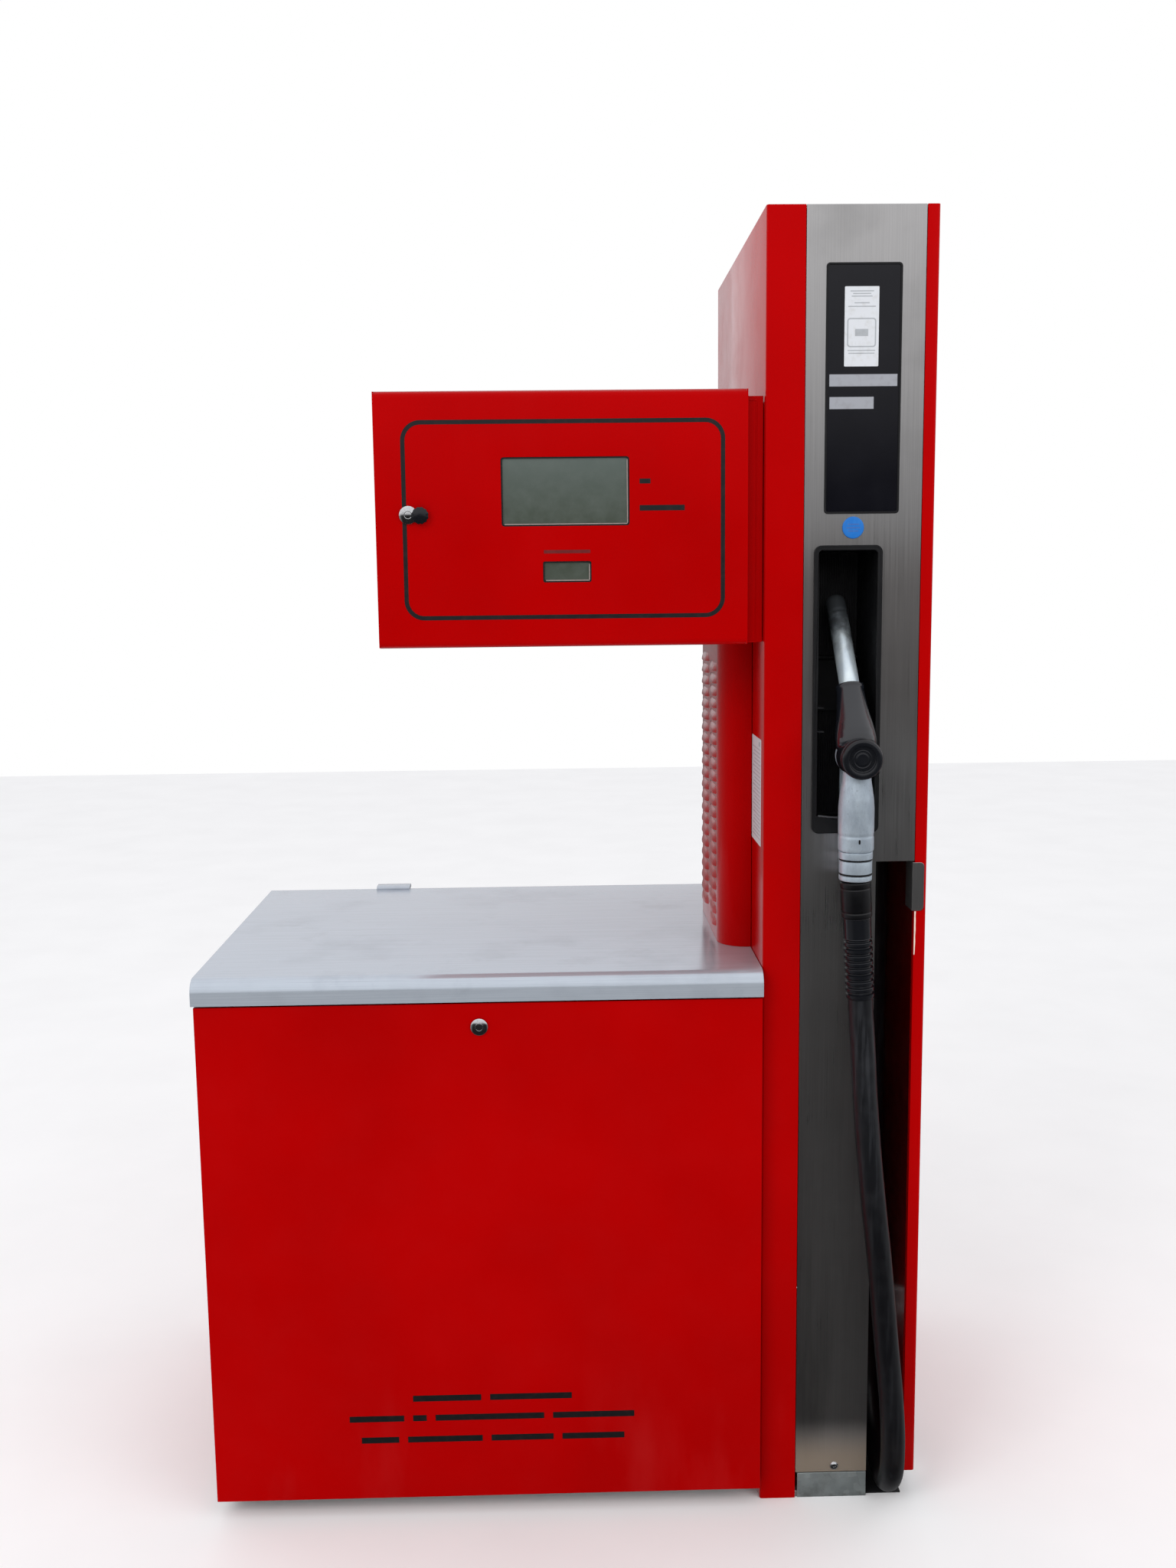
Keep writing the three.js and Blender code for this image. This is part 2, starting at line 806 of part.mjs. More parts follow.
// Swivel under the handle: a plain collar between two rings and their grooves.
const swivelTop = handleBottom - seam;
const swivelRadius = handleRadius - 2;
place(
  "nozzle_swivel",
  turned(
    [
      [0, swivelTop - swivelLength],
      [swivelRadius - 1, swivelTop - swivelLength],
      [swivelRadius, swivelTop - swivelLength + 2],
      [swivelRadius, swivelTop - 36],
      [swivelRadius - 1.5, swivelTop - 35.5],
      [swivelRadius - 1.5, swivelTop - 32.5],
      [swivelRadius, swivelTop - 32],
      [swivelRadius, swivelTop - 14],
      [swivelRadius - 1.5, swivelTop - 13.5],
      [swivelRadius - 1.5, swivelTop - 11],
      [swivelRadius + 0.8, swivelTop - 10.5],
      [swivelRadius + 0.8, swivelTop],
      [0, swivelTop],
    ],
    nozzleX,
    nozzleY,
  ),
  castAluminium,
);

// The sleeve and the bend restrictor lean with the hose.
const hoseEnd = new THREE.Group();
const swivelGap = 1.9;
hoseEnd.position.set(nozzleX, nozzleY, swivelTop - swivelLength - swivelGap);
hoseEnd.rotation.set(0, -hoseLean, 0);
dispenser.add(hoseEnd);

place(
  "hose_sleeve",
  turned(
    [
      [0, -sleeveLength],
      [sleeveRadius - 0.5, -sleeveLength],
      [sleeveRadius, -sleeveLength + 1],
      [sleeveRadius, -1.5],
      [sleeveRadius - 1, 0],
      [0, 0],
    ],
    0,
    0,
  ),
  blackPlastic,
  hoseEnd,
);

function bendRestrictor() {
  const top = -sleeveLength - seam;
  const bottom = top - restrictorLength;
  const ribs = 9;
  const ribPitch = 10;
  const ribHeight = 5.6;
  const ribStart = bottom + 3;
  const profile = [[0, bottom], [restrictorRadius - 1.5, bottom]];
  for (let i = 0; i < ribs; i += 1) {
    const z = ribStart + i * ribPitch;
    profile.push([restrictorRadius, z]);
    profile.push([restrictorRadius, z + ribHeight]);
    profile.push([restrictorRadius - 2.2, z + ribHeight + 1.6]);
  }
  profile.push([restrictorRadius - 1, ribStart + ribs * ribPitch + 3]);
  profile.push([restrictorRadius - 0.5, top]);
  profile.push([0, top]);
  return turned(profile, 0, 0, 14);
}
place("hose_bend_restrictor", bendRestrictor(), rubber, hoseEnd);

// ---- hose ----

// From the bend restrictor down in front of the column, back through the slot in a loop, up
// behind the partition, over the sheave and down to the outlet fitting.
const outletTop = sheaveZ - 390.4;
function hoseRoute() {
  const reach = sleeveLength + restrictorLength + 3 * seam;
  const startX = nozzleX + reach * Math.sin(hoseLean);
  const startZ = hoseEnd.position.z - reach * Math.cos(hoseLean);
  const turnZ = 138;
  const frontX = (slotLeft + slotRight) / 2 + 1.25;
  const frontY = nozzleY - 2;
  const returnY = sheaveY - sheaveRadius;
  const straight = (along) => [
    startX + along * Math.sin(hoseLean),
    nozzleY,
    startZ - along * Math.cos(hoseLean),
  ];
  const down = [0.086, 0.216, 0.349, 0.474, 0.587, 0.694, 0.798, 0.914, 1];
  const across = [0.064, 0.15, 0.271, 0.417, 0.564, 0.682, 0.793, 0.928, 1];
  const drift = [1, 2, 3, 3.5, 4, 4.5, 4.8, 4, 2];
  const front = down.map((part, i) => [
    startX + across[i] * (frontX - startX),
    nozzleY - drift[i],
    startZ + part * (turnZ - startZ),
  ]);
  const loop = [30, 60, 90, 120, 150].map((turn) => {
    const angle = (turn * Math.PI) / 180;
    return [
      frontX + ((hoseRunX - frontX) * (1 - Math.cos(angle))) / 2,
      (frontY + returnY) / 2 - ((returnY - frontY) / 2) * Math.cos(angle),
      turnZ - 114.5 * Math.sin(angle),
    ];
  });
  const rise = [0, 0.074, 0.231, 0.431, 0.643, 0.861, 0.958];
  const back = rise.map((part) => [hoseRunX, returnY, turnZ + part * (sheaveZ - turnZ)]);
  const over = [0, 30, 60, 90, 120, 150, 180].map((turn) => {
    const angle = (turn * Math.PI) / 180;
    return [hoseRunX, sheaveY - sheaveRadius * Math.cos(angle), sheaveZ + sheaveRadius * Math.sin(angle)];
  });
  const end = [70, 230, 390].map((drop) => [hoseRunX, pipeY, sheaveZ - drop]);
  return [straight(0), straight(20), ...front, ...loop, ...back, ...over, ...end];
}
place("fuel_hose", tube(hoseRoute(), hoseDiameter / 2, 8, 66), rubber);

// Sheave that turns the hose over inside the top of the column, and its fixed axle.
function sheave() {
  const groove = sheaveRadius - hoseDiameter / 2 - sheaveSlack;
  const flange = sheaveRadius + hoseDiameter / 2 + 4;
  const half = 23;
  const inside = hoseDiameter / 2 + 1.2;
  const hub = axleRadius + 14;
  const web = 4;
  const bore = axleRadius + 0.5;
  const profile = [
    [bore, -half],
    [hub, -half],
    [hub, -web],
    [groove - 12, -web],
    [groove - 12, -half],
    [flange, -half],
    [flange, -half + 1.6],
    [groove, -inside],
    [groove, inside],
    [flange, half - 1.6],
    [flange, half],
    [groove - 12, half],
    [groove - 12, web],
    [hub, web],
    [hub, half],
    [bore, half],
    [bore, -half],
  ];
  const points = profile.map(([r, h]) => new THREE.Vector2(r, h));
  return new THREE.LatheGeometry(points, 28).rotateZ(-Math.PI / 2).translate(hoseRunX, sheaveY, sheaveZ);
}
place("hose_sheave", sheave(), zinc);
place(
  "sheave_axle",
  join(
    rod("x", axleRadius, partitionX + sheet + seam, columnWidth - sheet - seam, [sheaveY, sheaveZ], 16),
    rod("x", 20, partitionX + sheet + seam, hoseRunX - 23 - seam, [sheaveY, sheaveZ], 16),
    rod("x", 20, hoseRunX + 23 + seam, columnWidth - sheet - seam, [sheaveY, sheaveZ], 16),
  ),
  zinc,
);

const outletBottom = outletTop - 70;
place(
  "hose_outlet_fitting",
  turned(
    [
      [0, outletBottom],
      [25, outletBottom],
      [25, outletBottom + 18],
      [21, outletBottom + 22],
      [21, outletTop - 26],
      [24, outletTop - 22],
      [24, outletTop - 4],
      [22, outletTop],
      [0, outletTop],
    ],
    hoseRunX,
    pipeY,
    12,
  ),
  castAluminium,
);

// ---- cabinet ----

function tray(x0, x1, z0, z1, front, depth) {
  return cut(
    block(x0, x1, front, front + depth, z0, z1),
    block(x0 + sheet, x1 - sheet, front + sheet, front + depth + 1, z0 + sheet, z1 - sheet),
  );
}

const panelFront = -cabinetProud;
const panelDepth = cabinetProud - 1;
const lockHole = rod("y", barrelRadius + 0.7, panelFront - 2, panelFront + 5, [lockX, lockZ], 16);
const frontPanel = cut(
  tray(cabinetLeft, cabinetRight + 1, panelBottom, panelTop, panelFront, panelDepth),
  lockHole,
);
place("cabinet_front_panel", frontPanel, redEnamel);
place("cabinet_rear_panel", toRear(frontPanel), redEnamel);

// A quarter-turn lock: a round head outside, a barrel and a cam that points sideways while
// it is unlocked.
function quarterLock(x, z, face, camY, camTurn) {
  const head = turnedY(
    [
      [0, face - lockHeadProud],
      [lockRadius - 3, face - lockHeadProud],
      [lockRadius, face - lockHeadProud + 2],
      [lockRadius, face - seam],
      [0, face - seam],
    ],
    x,
    z,
    20,
  );
  const barrel = rod("y", barrelRadius, face - 1, camY + 1, [x, z], 16);
  const camShape = roundedRectangle(-camLength, 7, -6, 6, 5);
  const cam = alongY(camShape, camY, camY + 3).rotateY(camTurn).translate(x, 0, z);
  return join(head, barrel, cam);
}
const railFront = 6;
const frontLock = quarterLock(lockX, lockZ, panelFront, railFront + 4, 0);
place("cabinet_front_lock", frontLock, chrome);
place("cabinet_rear_lock", toRear(frontLock), chrome);

// Angle rails under the front and rear edges of the top; the cams lock behind them.
function topRail() {
  const z1 = lipBottom - 6;
  const z0 = lockZ + barrelRadius + 3;
  return join(
    block(cabinetLeft + 25.5, -0.5, railFront, railFront + 3, z0, z1),
    block(cabinetLeft + 25.5, -0.5, railFront, railFront + 30, z1 - 3, z1),
  );
}
place("cabinet_rail_front", topRail(), zinc);
place("cabinet_rail_rear", toRear(topRail()), zinc);

// Left side with folded edges that serve as corner posts.
function leftSide() {
  const fold = 25;
  const plan = outline([
    [cabinetLeft, sheet],
    [cabinetLeft + fold, sheet],
    [cabinetLeft + fold, 2 * sheet],
    [cabinetLeft + sheet, 2 * sheet],
    [cabinetLeft + sheet, columnDepth - 2 * sheet],
    [cabinetLeft + fold, columnDepth - 2 * sheet],
    [cabinetLeft + fold, columnDepth - sheet],
    [cabinetLeft, columnDepth - sheet],
  ]);
  return alongZ(plan, panelBottom, panelTop);
}
place("cabinet_left_panel", leftSide(), redEnamel);

// Section of the top, in (y, z): flat, rolled down over the front and the rear.
function topSection(inset) {
  const front = -cabinetProud - 4 + inset;
  const rear = columnDepth + cabinetProud + 4 - inset;
  const top = cabinetTopHeight - inset;
  const radius = topRollRadius - inset;
  const shape = new THREE.Shape();
  shape.moveTo(front, lipBottom - (inset ? 1 : 0));
  shape.lineTo(rear, lipBottom - (inset ? 1 : 0));
  shape.lineTo(rear, top - radius);
  shape.absarc(rear - radius, top - radius, radius, 0, Math.PI / 2);
  shape.lineTo(front + radius, top);
  shape.absarc(front + radius, top - radius, radius, Math.PI / 2, Math.PI);
  return shape;
}
const conduitX = -28;
const conduitY = 300;
const topLeft = cabinetLeft - topOverhang;
place(
  "cabinet_top",
  cut(
    alongX(topSection(0), topLeft, cabinetRight + 2, 5),
    alongX(topSection(sheet), topLeft + sheet, cabinetRight + 3, 5),
    rod("z", conduitRadius + 3, cabinetTopHeight - 10, cabinetTopHeight + 10, [conduitX, conduitY], 16),
  ),
  stainless,
);

const baseRight = cabinetRight - 2;
const pumpX = -260;
const pumpZ = 200;
const inletX = pumpX + 175;
const inletY = driveFace + 90;

// Floor plate between two rails, each with a sill that reaches out to its panel.
function cabinetBase() {
  const sillTop = panelBottom + 5;
  const side = (turn) => [
    turn(block(cabinetLeft + 3, baseRight, baseSetback, baseSetback + 30, 0, basePlate + railHeight)),
    turn(block(cabinetLeft + 26, baseRight, 3, baseSetback + 30, sillTop - 3, sillTop)),
    turn(block(cabinetLeft + 26, baseRight, baseSetback, baseSetback + 3, basePlate, sillTop)),
  ];
  return cut(
    join(
      block(cabinetLeft + 3, baseRight, baseSetback, columnDepth - baseSetback, 0, basePlate),
      ...side((geometry) => geometry),
      ...side(toRear),
    ),
    block(inletX - 60, inletX + 60, inletY - 60, inletY + 60, -1, basePlate + 1),
  );
}
place("cabinet_base", cabinetBase(), zinc);

// ---- drive and pipework inside the cabinet ----

const motorX = cabinetLeft + 205;
const motorZ = basePlate + motorRadius + 42;
const meterY = columnDepth - 150;
const pulleyBack = pulleyY + pulleyWidth;

// Finned motor on two feet, with its terminal box on top.
function motor() {
  const rear = columnDepth - 120;
  const pitch = (rear - driveFace - 126) / 3;
  const fins = [60, 60 + pitch, 60 + 2 * pitch, 60 + 3 * pitch].map((y) =>
    rod("y", motorRadius + 5, driveFace + y, driveFace + y + 10, [motorX, motorZ], 16),
  );
  return join(
    rod("y", motorRadius, driveFace, rear, [motorX, motorZ], 16),
    ...fins,
    block(motorX - 85, motorX - 45, driveFace + 40, rear - 40, basePlate + seam, motorZ - 20),
    block(motorX + 45, motorX + 85, driveFace + 40, rear - 40, basePlate + seam, motorZ - 20),
    block(motorX - 45, motorX + 45, driveFace + 90, rear - 80, motorZ, motorZ + motorRadius + 38),
  );
}
place("pump_motor", motor(), greyPaint);

// A grooved pulley with the end of its shaft.
function pulley(x, z, radius) {
  const middle = pulleyY + pulleyWidth / 2;
  return turnedY(
    [
      [0, pulleyY],
      [radius, pulleyY],
      [radius, middle - 11],
      [radius - 7, middle - 5.6],
      [radius - 7, middle + 5.6],
      [radius, middle + 11],
      [radius, pulleyBack],
      [14, pulleyBack],
      [14, driveFace - seam],
      [0, driveFace - seam],
    ],
    x,
    z,
    28,
  );
}
place("motor_pulley", pulley(motorX, motorZ, motorPulleyRadius), castIron);
place("pump_pulley", pulley(pumpX, pumpZ, pumpPulleyRadius), castIron);

// The belt runs on both grooves; its straight runs touch both circles.
function belt() {
  const run = Math.hypot(pumpX - motorX, pumpZ - motorZ);
  const slope = Math.atan2(pumpZ - motorZ, pumpX - motorX);
  const loop = (grow, Kind) => {
    const small = motorPulleyRadius - 7 + grow;
    const large = pumpPulleyRadius - 7 + grow;
    const lead = Math.acos((small - large) / run);
    const shape = new Kind();
    shape.absarc(motorX, motorZ, small, slope + lead, slope + 2 * Math.PI - lead);
    shape.absarc(pumpX, pumpZ, large, slope - lead, slope + lead);
    shape.closePath();
    return shape;
  };
  const outer = loop(beltThickness + 0.6, THREE.Shape);
  outer.holes.push(loop(0.6, THREE.Path));
  const middle = pulleyY + pulleyWidth / 2;
  return alongY(outer, middle - 5, middle + 5, 12);
}
place("drive_belt", belt(), rubber);

// Pump and air separator block with its riser to the meter.
function pumpUnit() {
  const meterFoot = 500 - seam;
  return join(
    block(pumpX - 95, pumpX + 95, driveFace, columnDepth - 190, 60, 330),
    block(pumpX - 45, pumpX + 75, columnDepth - 220, columnDepth - 100, 60, 420),
    rod("z", 34, 400, meterFoot, [pumpX + 10, meterY], 16),
    rod("y", 60, driveFace + 20, columnDepth - 220, [pumpX - 30, 330], 16),
    block(pumpX - 110, pumpX - 70, driveFace + 30, columnDepth - 220, basePlate + seam, 90),
    block(pumpX + 70, pumpX + 110, driveFace + 30, columnDepth - 220, basePlate + seam, 90),
  );
}
place("pump_unit", pumpUnit(), castIron);

// Suction riser through the floor opening, ending at a flange on the pump.
place(
  "suction_pipe",
  join(
    tube(
      [
        [inletX, inletY, 0.5],
        [inletX, inletY, 120],
        [inletX, inletY, 210],
        [inletX - 8, inletY, 240],
        [inletX - 34, inletY, 262],
        [pumpX + 100, inletY, 262],
      ],
      24,
      12,
      14,
    ),
    rod("x", 38, pumpX + 95 + seam, pumpX + 108, [inletY, 262], 16),
  ),
  zinc,
);

const meterX = pumpX + 10;
const meterTop = 625;

// Four-piston meter: a round case with a cover on each of its four cylinders.
function meter() {
  const cover = (dx, dy) =>
    rod(
      dx ? "x" : "y",
      42,
      (dx ? meterX : meterY) - (dx + dy < 0 ? 112 : 0),
      (dx ? meterX : meterY) + (dx + dy > 0 ? 112 : 0),
      dx ? [meterY, pipeHeight] : [meterX, pipeHeight],
      16,
    );
  return join(
    rod("z", 88, 500, meterTop - 18, [meterX, meterY], 24),
    rod("z", 40, 500, meterTop, [meterX, meterY], 16),
    cover(1, 0),
    cover(-1, 0),
    cover(0, 1),
    cover(0, -1),
  );
}
place("flow_meter", meter(), castAluminium);

const couplingTop = meterTop + 22;
place(
  "meter_coupling",
  join(
    rod("z", 9, meterTop + seam, couplingTop, [meterX, meterY], 12),
    block(meterX - 24, meterX + 24, meterY - 4, meterY + 4, meterTop + 6, meterTop + 14),
  ),
  zinc,
);
place(
  "meter_pulser",
  join(
    rod("z", 42, couplingTop + seam, couplingTop + 62, [meterX, meterY], 20),
    block(meterX + 20, meterX + 60, meterY - 18, meterY + 18, couplingTop + 14, couplingTop + 44),
  ),
  blackPlastic,
);

// Valve between the meter's outlet and the pipe to the column.
const valveStart = meterX + 112 + seam;
const valveEnd = valveStart + 62;
place(
  "solenoid_valve",
  join(
    rod("x", 32, valveStart, valveEnd, [pipeY, pipeHeight], 16),
    rod("z", 24, pipeHeight + 10, pipeHeight + 105, [valveStart + 31, pipeY], 16),
  ),
  castAluminium,
);

place(
  "delivery_pipe",
  tube(
    [
      [valveEnd + seam, pipeY, pipeHeight],
      [hoseRunX - 170, pipeY, pipeHeight],
      [hoseRunX - 48, pipeY, pipeHeight],
      [hoseRunX - 12, pipeY, pipeHeight + 12],
      [hoseRunX, pipeY, pipeHeight + 48],
      [hoseRunX, pipeY, pipeHeight + 260],
      [hoseRunX, pipeY, outletBottom - seam],
    ],
    pipeRadius,
    12,
    24,
  ),
  zinc,
);

const boxLeft = cabinetLeft + sheet + seam;
const boxY = columnDepth - 220;
place(
  "junction_box",
  join(
    block(boxLeft, boxLeft + 110, boxY, boxY + 160, 500, 660),
    rod("x", 13, boxLeft + 100, boxLeft + 132, [boxY + 80, 620], 12),
  ),
  greyPaint,
);

// Conduit from the junction box, through the post, up into the head.
place(
  "cable_conduit",
  tube(
    [
      [boxLeft + 133, boxY + 80, 620],
      [boxLeft + 175, boxY + 80, 620],
      [boxLeft + 300, boxY + 60, (620 + cabinetTopHeight) / 2 - 51],
      [(boxLeft - 110) / 2 + 146, conduitY + 40, cabinetTopHeight - 107],
      [-110, conduitY, cabinetTopHeight - 94],
      [conduitX - 30, conduitY, cabinetTopHeight - 88],
      [conduitX - 6, conduitY, cabinetTopHeight - 70],
      [conduitX, conduitY, cabinetTopHeight - 40],
      [conduitX, conduitY, cabinetTopHeight + 18],
      [conduitX, conduitY, (cabinetTopHeight + headBottom) / 2],
      [conduitX, conduitY, headBottom - 40],
      [conduitX, conduitY, headBottom + 30],
    ],
    conduitRadius,
    8,
    26,
  ),
  blackPlastic,
);

// ---- louvred post ----

// Plan of the post: a half tube with large corners, open towards the column.
function postPlan() {
  const near = -1;
  const back = postFront + postDepth;
  const bend = (cy, radius, from) =>
    [0, 1, 2, 3, 4, 5, 6].map((i) => {
      const angle = from + (i * Math.PI) / 12;
      return [-postReach + postRadius + radius * Math.cos(angle), cy + radius * Math.sin(angle)];
    });
  return outline([
    [near, postFront + sheet],
    [near, postFront],
    ...bend(postFront + postRadius, postRadius, Math.PI).reverse(),
    ...bend(back - postRadius, postRadius, Math.PI / 2).reverse(),
    [near, back],
    [near, back - sheet],
    ...bend(back - postRadius, postRadius - sheet, Math.PI / 2),
    ...bend(postFront + postRadius, postRadius - sheet, Math.PI),
  ]);
}

// One pressed louvre: a hood that stands out furthest near its lower edge.
function louvre(y, z) {
  const face = -postReach;
  const shape = outline([
    [face + 0.8, z],
    [face - 5.5, z + 1.5],
    [face - 5, z + 4.5],
    [face + 0.8, z + 13],
  ]);
  return alongY(shape, y, y + louvreWidth);
}

function louvredPost() {
  const foot = cabinetTopHeight + seam;
  const top = headBottom + 2 - seam;
  const rows = Math.min(louvreRows, Math.floor((top - foot - 40) / louvrePitch));
  const first = top - 52 - (rows - 1) * louvrePitch;
  const columns = [postFront + postRadius + 8, postFront + postDepth - postRadius - 8 - louvreWidth];
  const hoods = columns.flatMap((y, column) =>
    Array.from({ length: rows }, (_, row) => louvre(y, first + (row + column / 2) * louvrePitch)),
  );
  return join(alongZ(postPlan(), foot, top), ...hoods);
}
place("louvred_post", louvredPost(), redEnamel);

// ---- head ----

const housingBottom = headBottom + 2.5;
const housingTop = headTop - housingTopDrop;
const housingLeft = headLeft + housingInset;
const housingRight = -housingGap;

// Sleeve open to the front and the rear, with flanges that the door locks close behind.
function headHousing() {
  const front = housingSetback;
  const rear = columnDepth - housingSetback;
  const flange = (y) => block(housingLeft, housingLeft + 21, y, y + sheet, housingBottom, housingTop);
  return cut(
    join(
      cut(
        block(housingLeft, housingRight, front, rear, housingBottom, housingTop),
        block(
          housingLeft + sheet,
          housingRight - sheet,
          front - 1,
          rear + 1,
          housingBottom + sheet,
          housingTop - sheet,
        ),
      ),
      flange(front),
      flange(rear - sheet),
    ),
    rod("z", conduitRadius + 3, housingBottom - 5, housingBottom + 5, [conduitX, conduitY], 16),
  );
}
place("head_housing", headHousing(), redEnamel);
place(
  "head_mount_plate",
  block(
    housingRight + seam,
    -seam,
    0.24 * columnDepth,
    0.76 * columnDepth,
    housingBottom + 40,
    housingTop - 40,
  ),
  zinc,
);

const lockAt = { x: headLeft + headLock.left, z: headTop - headLock.drop };

// Section of the door in (y, z), and the window and lock cut-outs.
function door() {
  const section = (inset) => {
    const shape = new THREE.Shape();
    const radius = doorRoll - inset;
    const front = inset;
    const back = doorReturn + (inset ? 1 : 0);
    const low = headBottom + inset;
    const high = headTop - inset;
    shape.moveTo(back, low);
    shape.lineTo(back, high);
    shape.lineTo(front + radius, high);
    shape.absarc(front + radius, high - radius, radius, Math.PI / 2, Math.PI);
    shape.absarc(front + radius, low + radius, radius, Math.PI, 1.5 * Math.PI);
    return shape;
  };
  const sideReturn = housingSetback - 1;
  const returns = (x) => block(x, x + sheet, 1, sideReturn, headBottom + 1, headTop - 1);
  return cut(
    join(
      cut(
        alongX(section(0), headLeft, headRight, 4),
        alongX(section(sheet), headLeft - 1, headRight + 1, 4),
      ),
      cut(
        alongX(section(0), headLeft, headLeft + sheet, 4),
        block(headLeft - 1, headLeft + 5, sideReturn, 60, 0, headTop + 9),
      ),
      cut(
        alongX(section(0), headRight - sheet, headRight, 4),
        block(headRight - 5, headRight + 1, sideReturn, 60, 0, headTop + 9),
      ),
      returns(headLeft),
      returns(headRight - sheet),
    ),
    rod("y", barrelRadius + 0.7, -2, 6, [lockAt.x, lockAt.z], 16),
  );
}

function windowOutline({ left, drop, width, height }, grow, radius) {
  return roundedRectangle(
    headLeft + left - grow,
    headLeft + left + width + grow,
    headTop - drop - height - grow,
    headTop - drop + grow,
    radius,
  );
}

const plainDoor = door();
place(
  "head_front_door",
  cut(
    plainDoor,
    alongY(windowOutline(mainWindow, 0, 4), -2, 6),
    alongY(windowOutline(priceWindow, 0, 3), -2, 6),
  ),
  redEnamel,
);
place("head_rear_door", toRear(plainDoor), redEnamel);

const lensFront = sheet + seam;
const lensBack = lensFront + lensThickness;
const lens = (window, radius) => alongY(windowOutline(window, lensOverlap, radius), lensFront, lensBack);
place("main_display_lens", lens(mainWindow, 4), displayGlass);
place("price_display_lens", lens(priceWindow, 3), displayGlass);

const moduleFront = lensBack + seam;
place(
  "display_module",
  block(
    headLeft + mainWindow.left - 18,
    headLeft + mainWindow.left + mainWindow.width + 18,
    moduleFront,
    moduleFront + 38,
    headTop - priceWindow.drop - priceWindow.height - 16,
    headTop - mainWindow.drop + 18,
  ),
  greyPaint,
);

const frontHeadLock = quarterLock(lockAt.x, lockAt.z, 0, housingSetback + sheet + 1.5, -Math.PI / 2);
place("head_front_lock", frontHeadLock, chrome);
place("head_rear_lock", toRear(frontHeadLock), chrome);

// Dust cap beside the lock: it swings half a turn about its ear to cover the keyhole.
const capFace = -9.6;
const capPivot = lockAt.x + dustCapOffset / 2;
place(
  "head_lock_dust_cap",
  join(
    turnedY(
      [
        [0, capFace],
        [dustCapRadius - 2.5, capFace],
        [dustCapRadius, capFace + 2],
        [dustCapRadius, -lockHeadProud - seam],
        [0, -lockHeadProud - seam],
      ],
      lockAt.x + dustCapOffset,
      lockAt.z - 1,
      20,
    ),
    rod("y", 4.5, capFace + 1.5, -lockHeadProud - seam, [capPivot, lockAt.z - 1], 12),
  ),
  blackPlastic,
);

place(
  "calculator_box",
  join(
    block(
      headRight - 300,
      headRight - 60,
      columnDepth - 290,
      columnDepth - 60,
      housingBottom + 20,
      housingTop - 40,
    ),
    block(
      headRight - 280,
      headRight - 240,
      columnDepth - 320,
      columnDepth - 285,
      housingBottom + 40,
      housingBottom + 90,
    ),
  ),
  greyPaint,
);

export default dispenser;
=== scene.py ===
import json
import math

import bmesh
import bpy
import numpy as np
from mathutils import Matrix, Vector

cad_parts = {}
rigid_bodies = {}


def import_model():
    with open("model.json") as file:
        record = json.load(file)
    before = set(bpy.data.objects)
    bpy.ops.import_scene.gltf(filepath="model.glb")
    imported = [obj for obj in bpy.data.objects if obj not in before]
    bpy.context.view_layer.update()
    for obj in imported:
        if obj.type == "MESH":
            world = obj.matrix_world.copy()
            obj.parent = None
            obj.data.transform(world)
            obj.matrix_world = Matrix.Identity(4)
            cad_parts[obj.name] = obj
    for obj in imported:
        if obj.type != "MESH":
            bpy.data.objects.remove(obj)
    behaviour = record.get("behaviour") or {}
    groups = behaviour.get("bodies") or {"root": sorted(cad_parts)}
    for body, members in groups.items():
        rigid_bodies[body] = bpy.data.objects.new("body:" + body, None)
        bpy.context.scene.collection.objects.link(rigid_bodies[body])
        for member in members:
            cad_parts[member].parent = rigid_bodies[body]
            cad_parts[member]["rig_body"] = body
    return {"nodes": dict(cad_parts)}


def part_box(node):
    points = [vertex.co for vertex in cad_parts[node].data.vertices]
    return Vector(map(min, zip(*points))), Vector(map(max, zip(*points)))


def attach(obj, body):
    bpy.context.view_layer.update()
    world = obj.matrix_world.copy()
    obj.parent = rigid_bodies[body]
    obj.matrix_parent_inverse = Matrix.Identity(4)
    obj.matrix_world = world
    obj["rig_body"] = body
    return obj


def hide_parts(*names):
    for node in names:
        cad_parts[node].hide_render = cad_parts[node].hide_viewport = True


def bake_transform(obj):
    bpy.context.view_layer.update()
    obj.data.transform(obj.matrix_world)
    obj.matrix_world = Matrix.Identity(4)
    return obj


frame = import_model()
scene = bpy.context.scene
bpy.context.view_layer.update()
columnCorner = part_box("column_left_panel")[0]


def spot(x, y, z):
    return columnCorner + Vector((x, y, z)) / 1000


print("frame loaded")

# the camera

cameraSetup = {"place": (-312.52, -2156.92, 1470.52), "lens": 33.342, "sensor": 36.0}
cameraAxes = np.array(
    [
        [0.99965, -0.02397, -0.01114],
        [0.01434, 0.13794, 0.99034],
        [-0.0222, -0.99015, 0.13823],
    ]
)


def makeCamera(setup):
    lensData = bpy.data.cameras.new("viewCamera")
    lensData.lens = setup["lens"]
    lensData.sensor_width = setup["sensor"]
    lensData.sensor_fit = "AUTO"
    lensData.clip_end = 60
    camera = bpy.data.objects.new("viewCamera", lensData)
    scene.collection.objects.link(camera)
    turn = Matrix(cameraAxes.T.tolist()).to_4x4()
    camera.matrix_world = Matrix.Translation(spot(*setup["place"])) @ turn
    scene.camera = camera


makeCamera(cameraSetup)
scene.view_settings.view_transform = "Standard"
scene.view_settings.look = "None"

# shapes: each function gives points in millimetres and faces as index lists


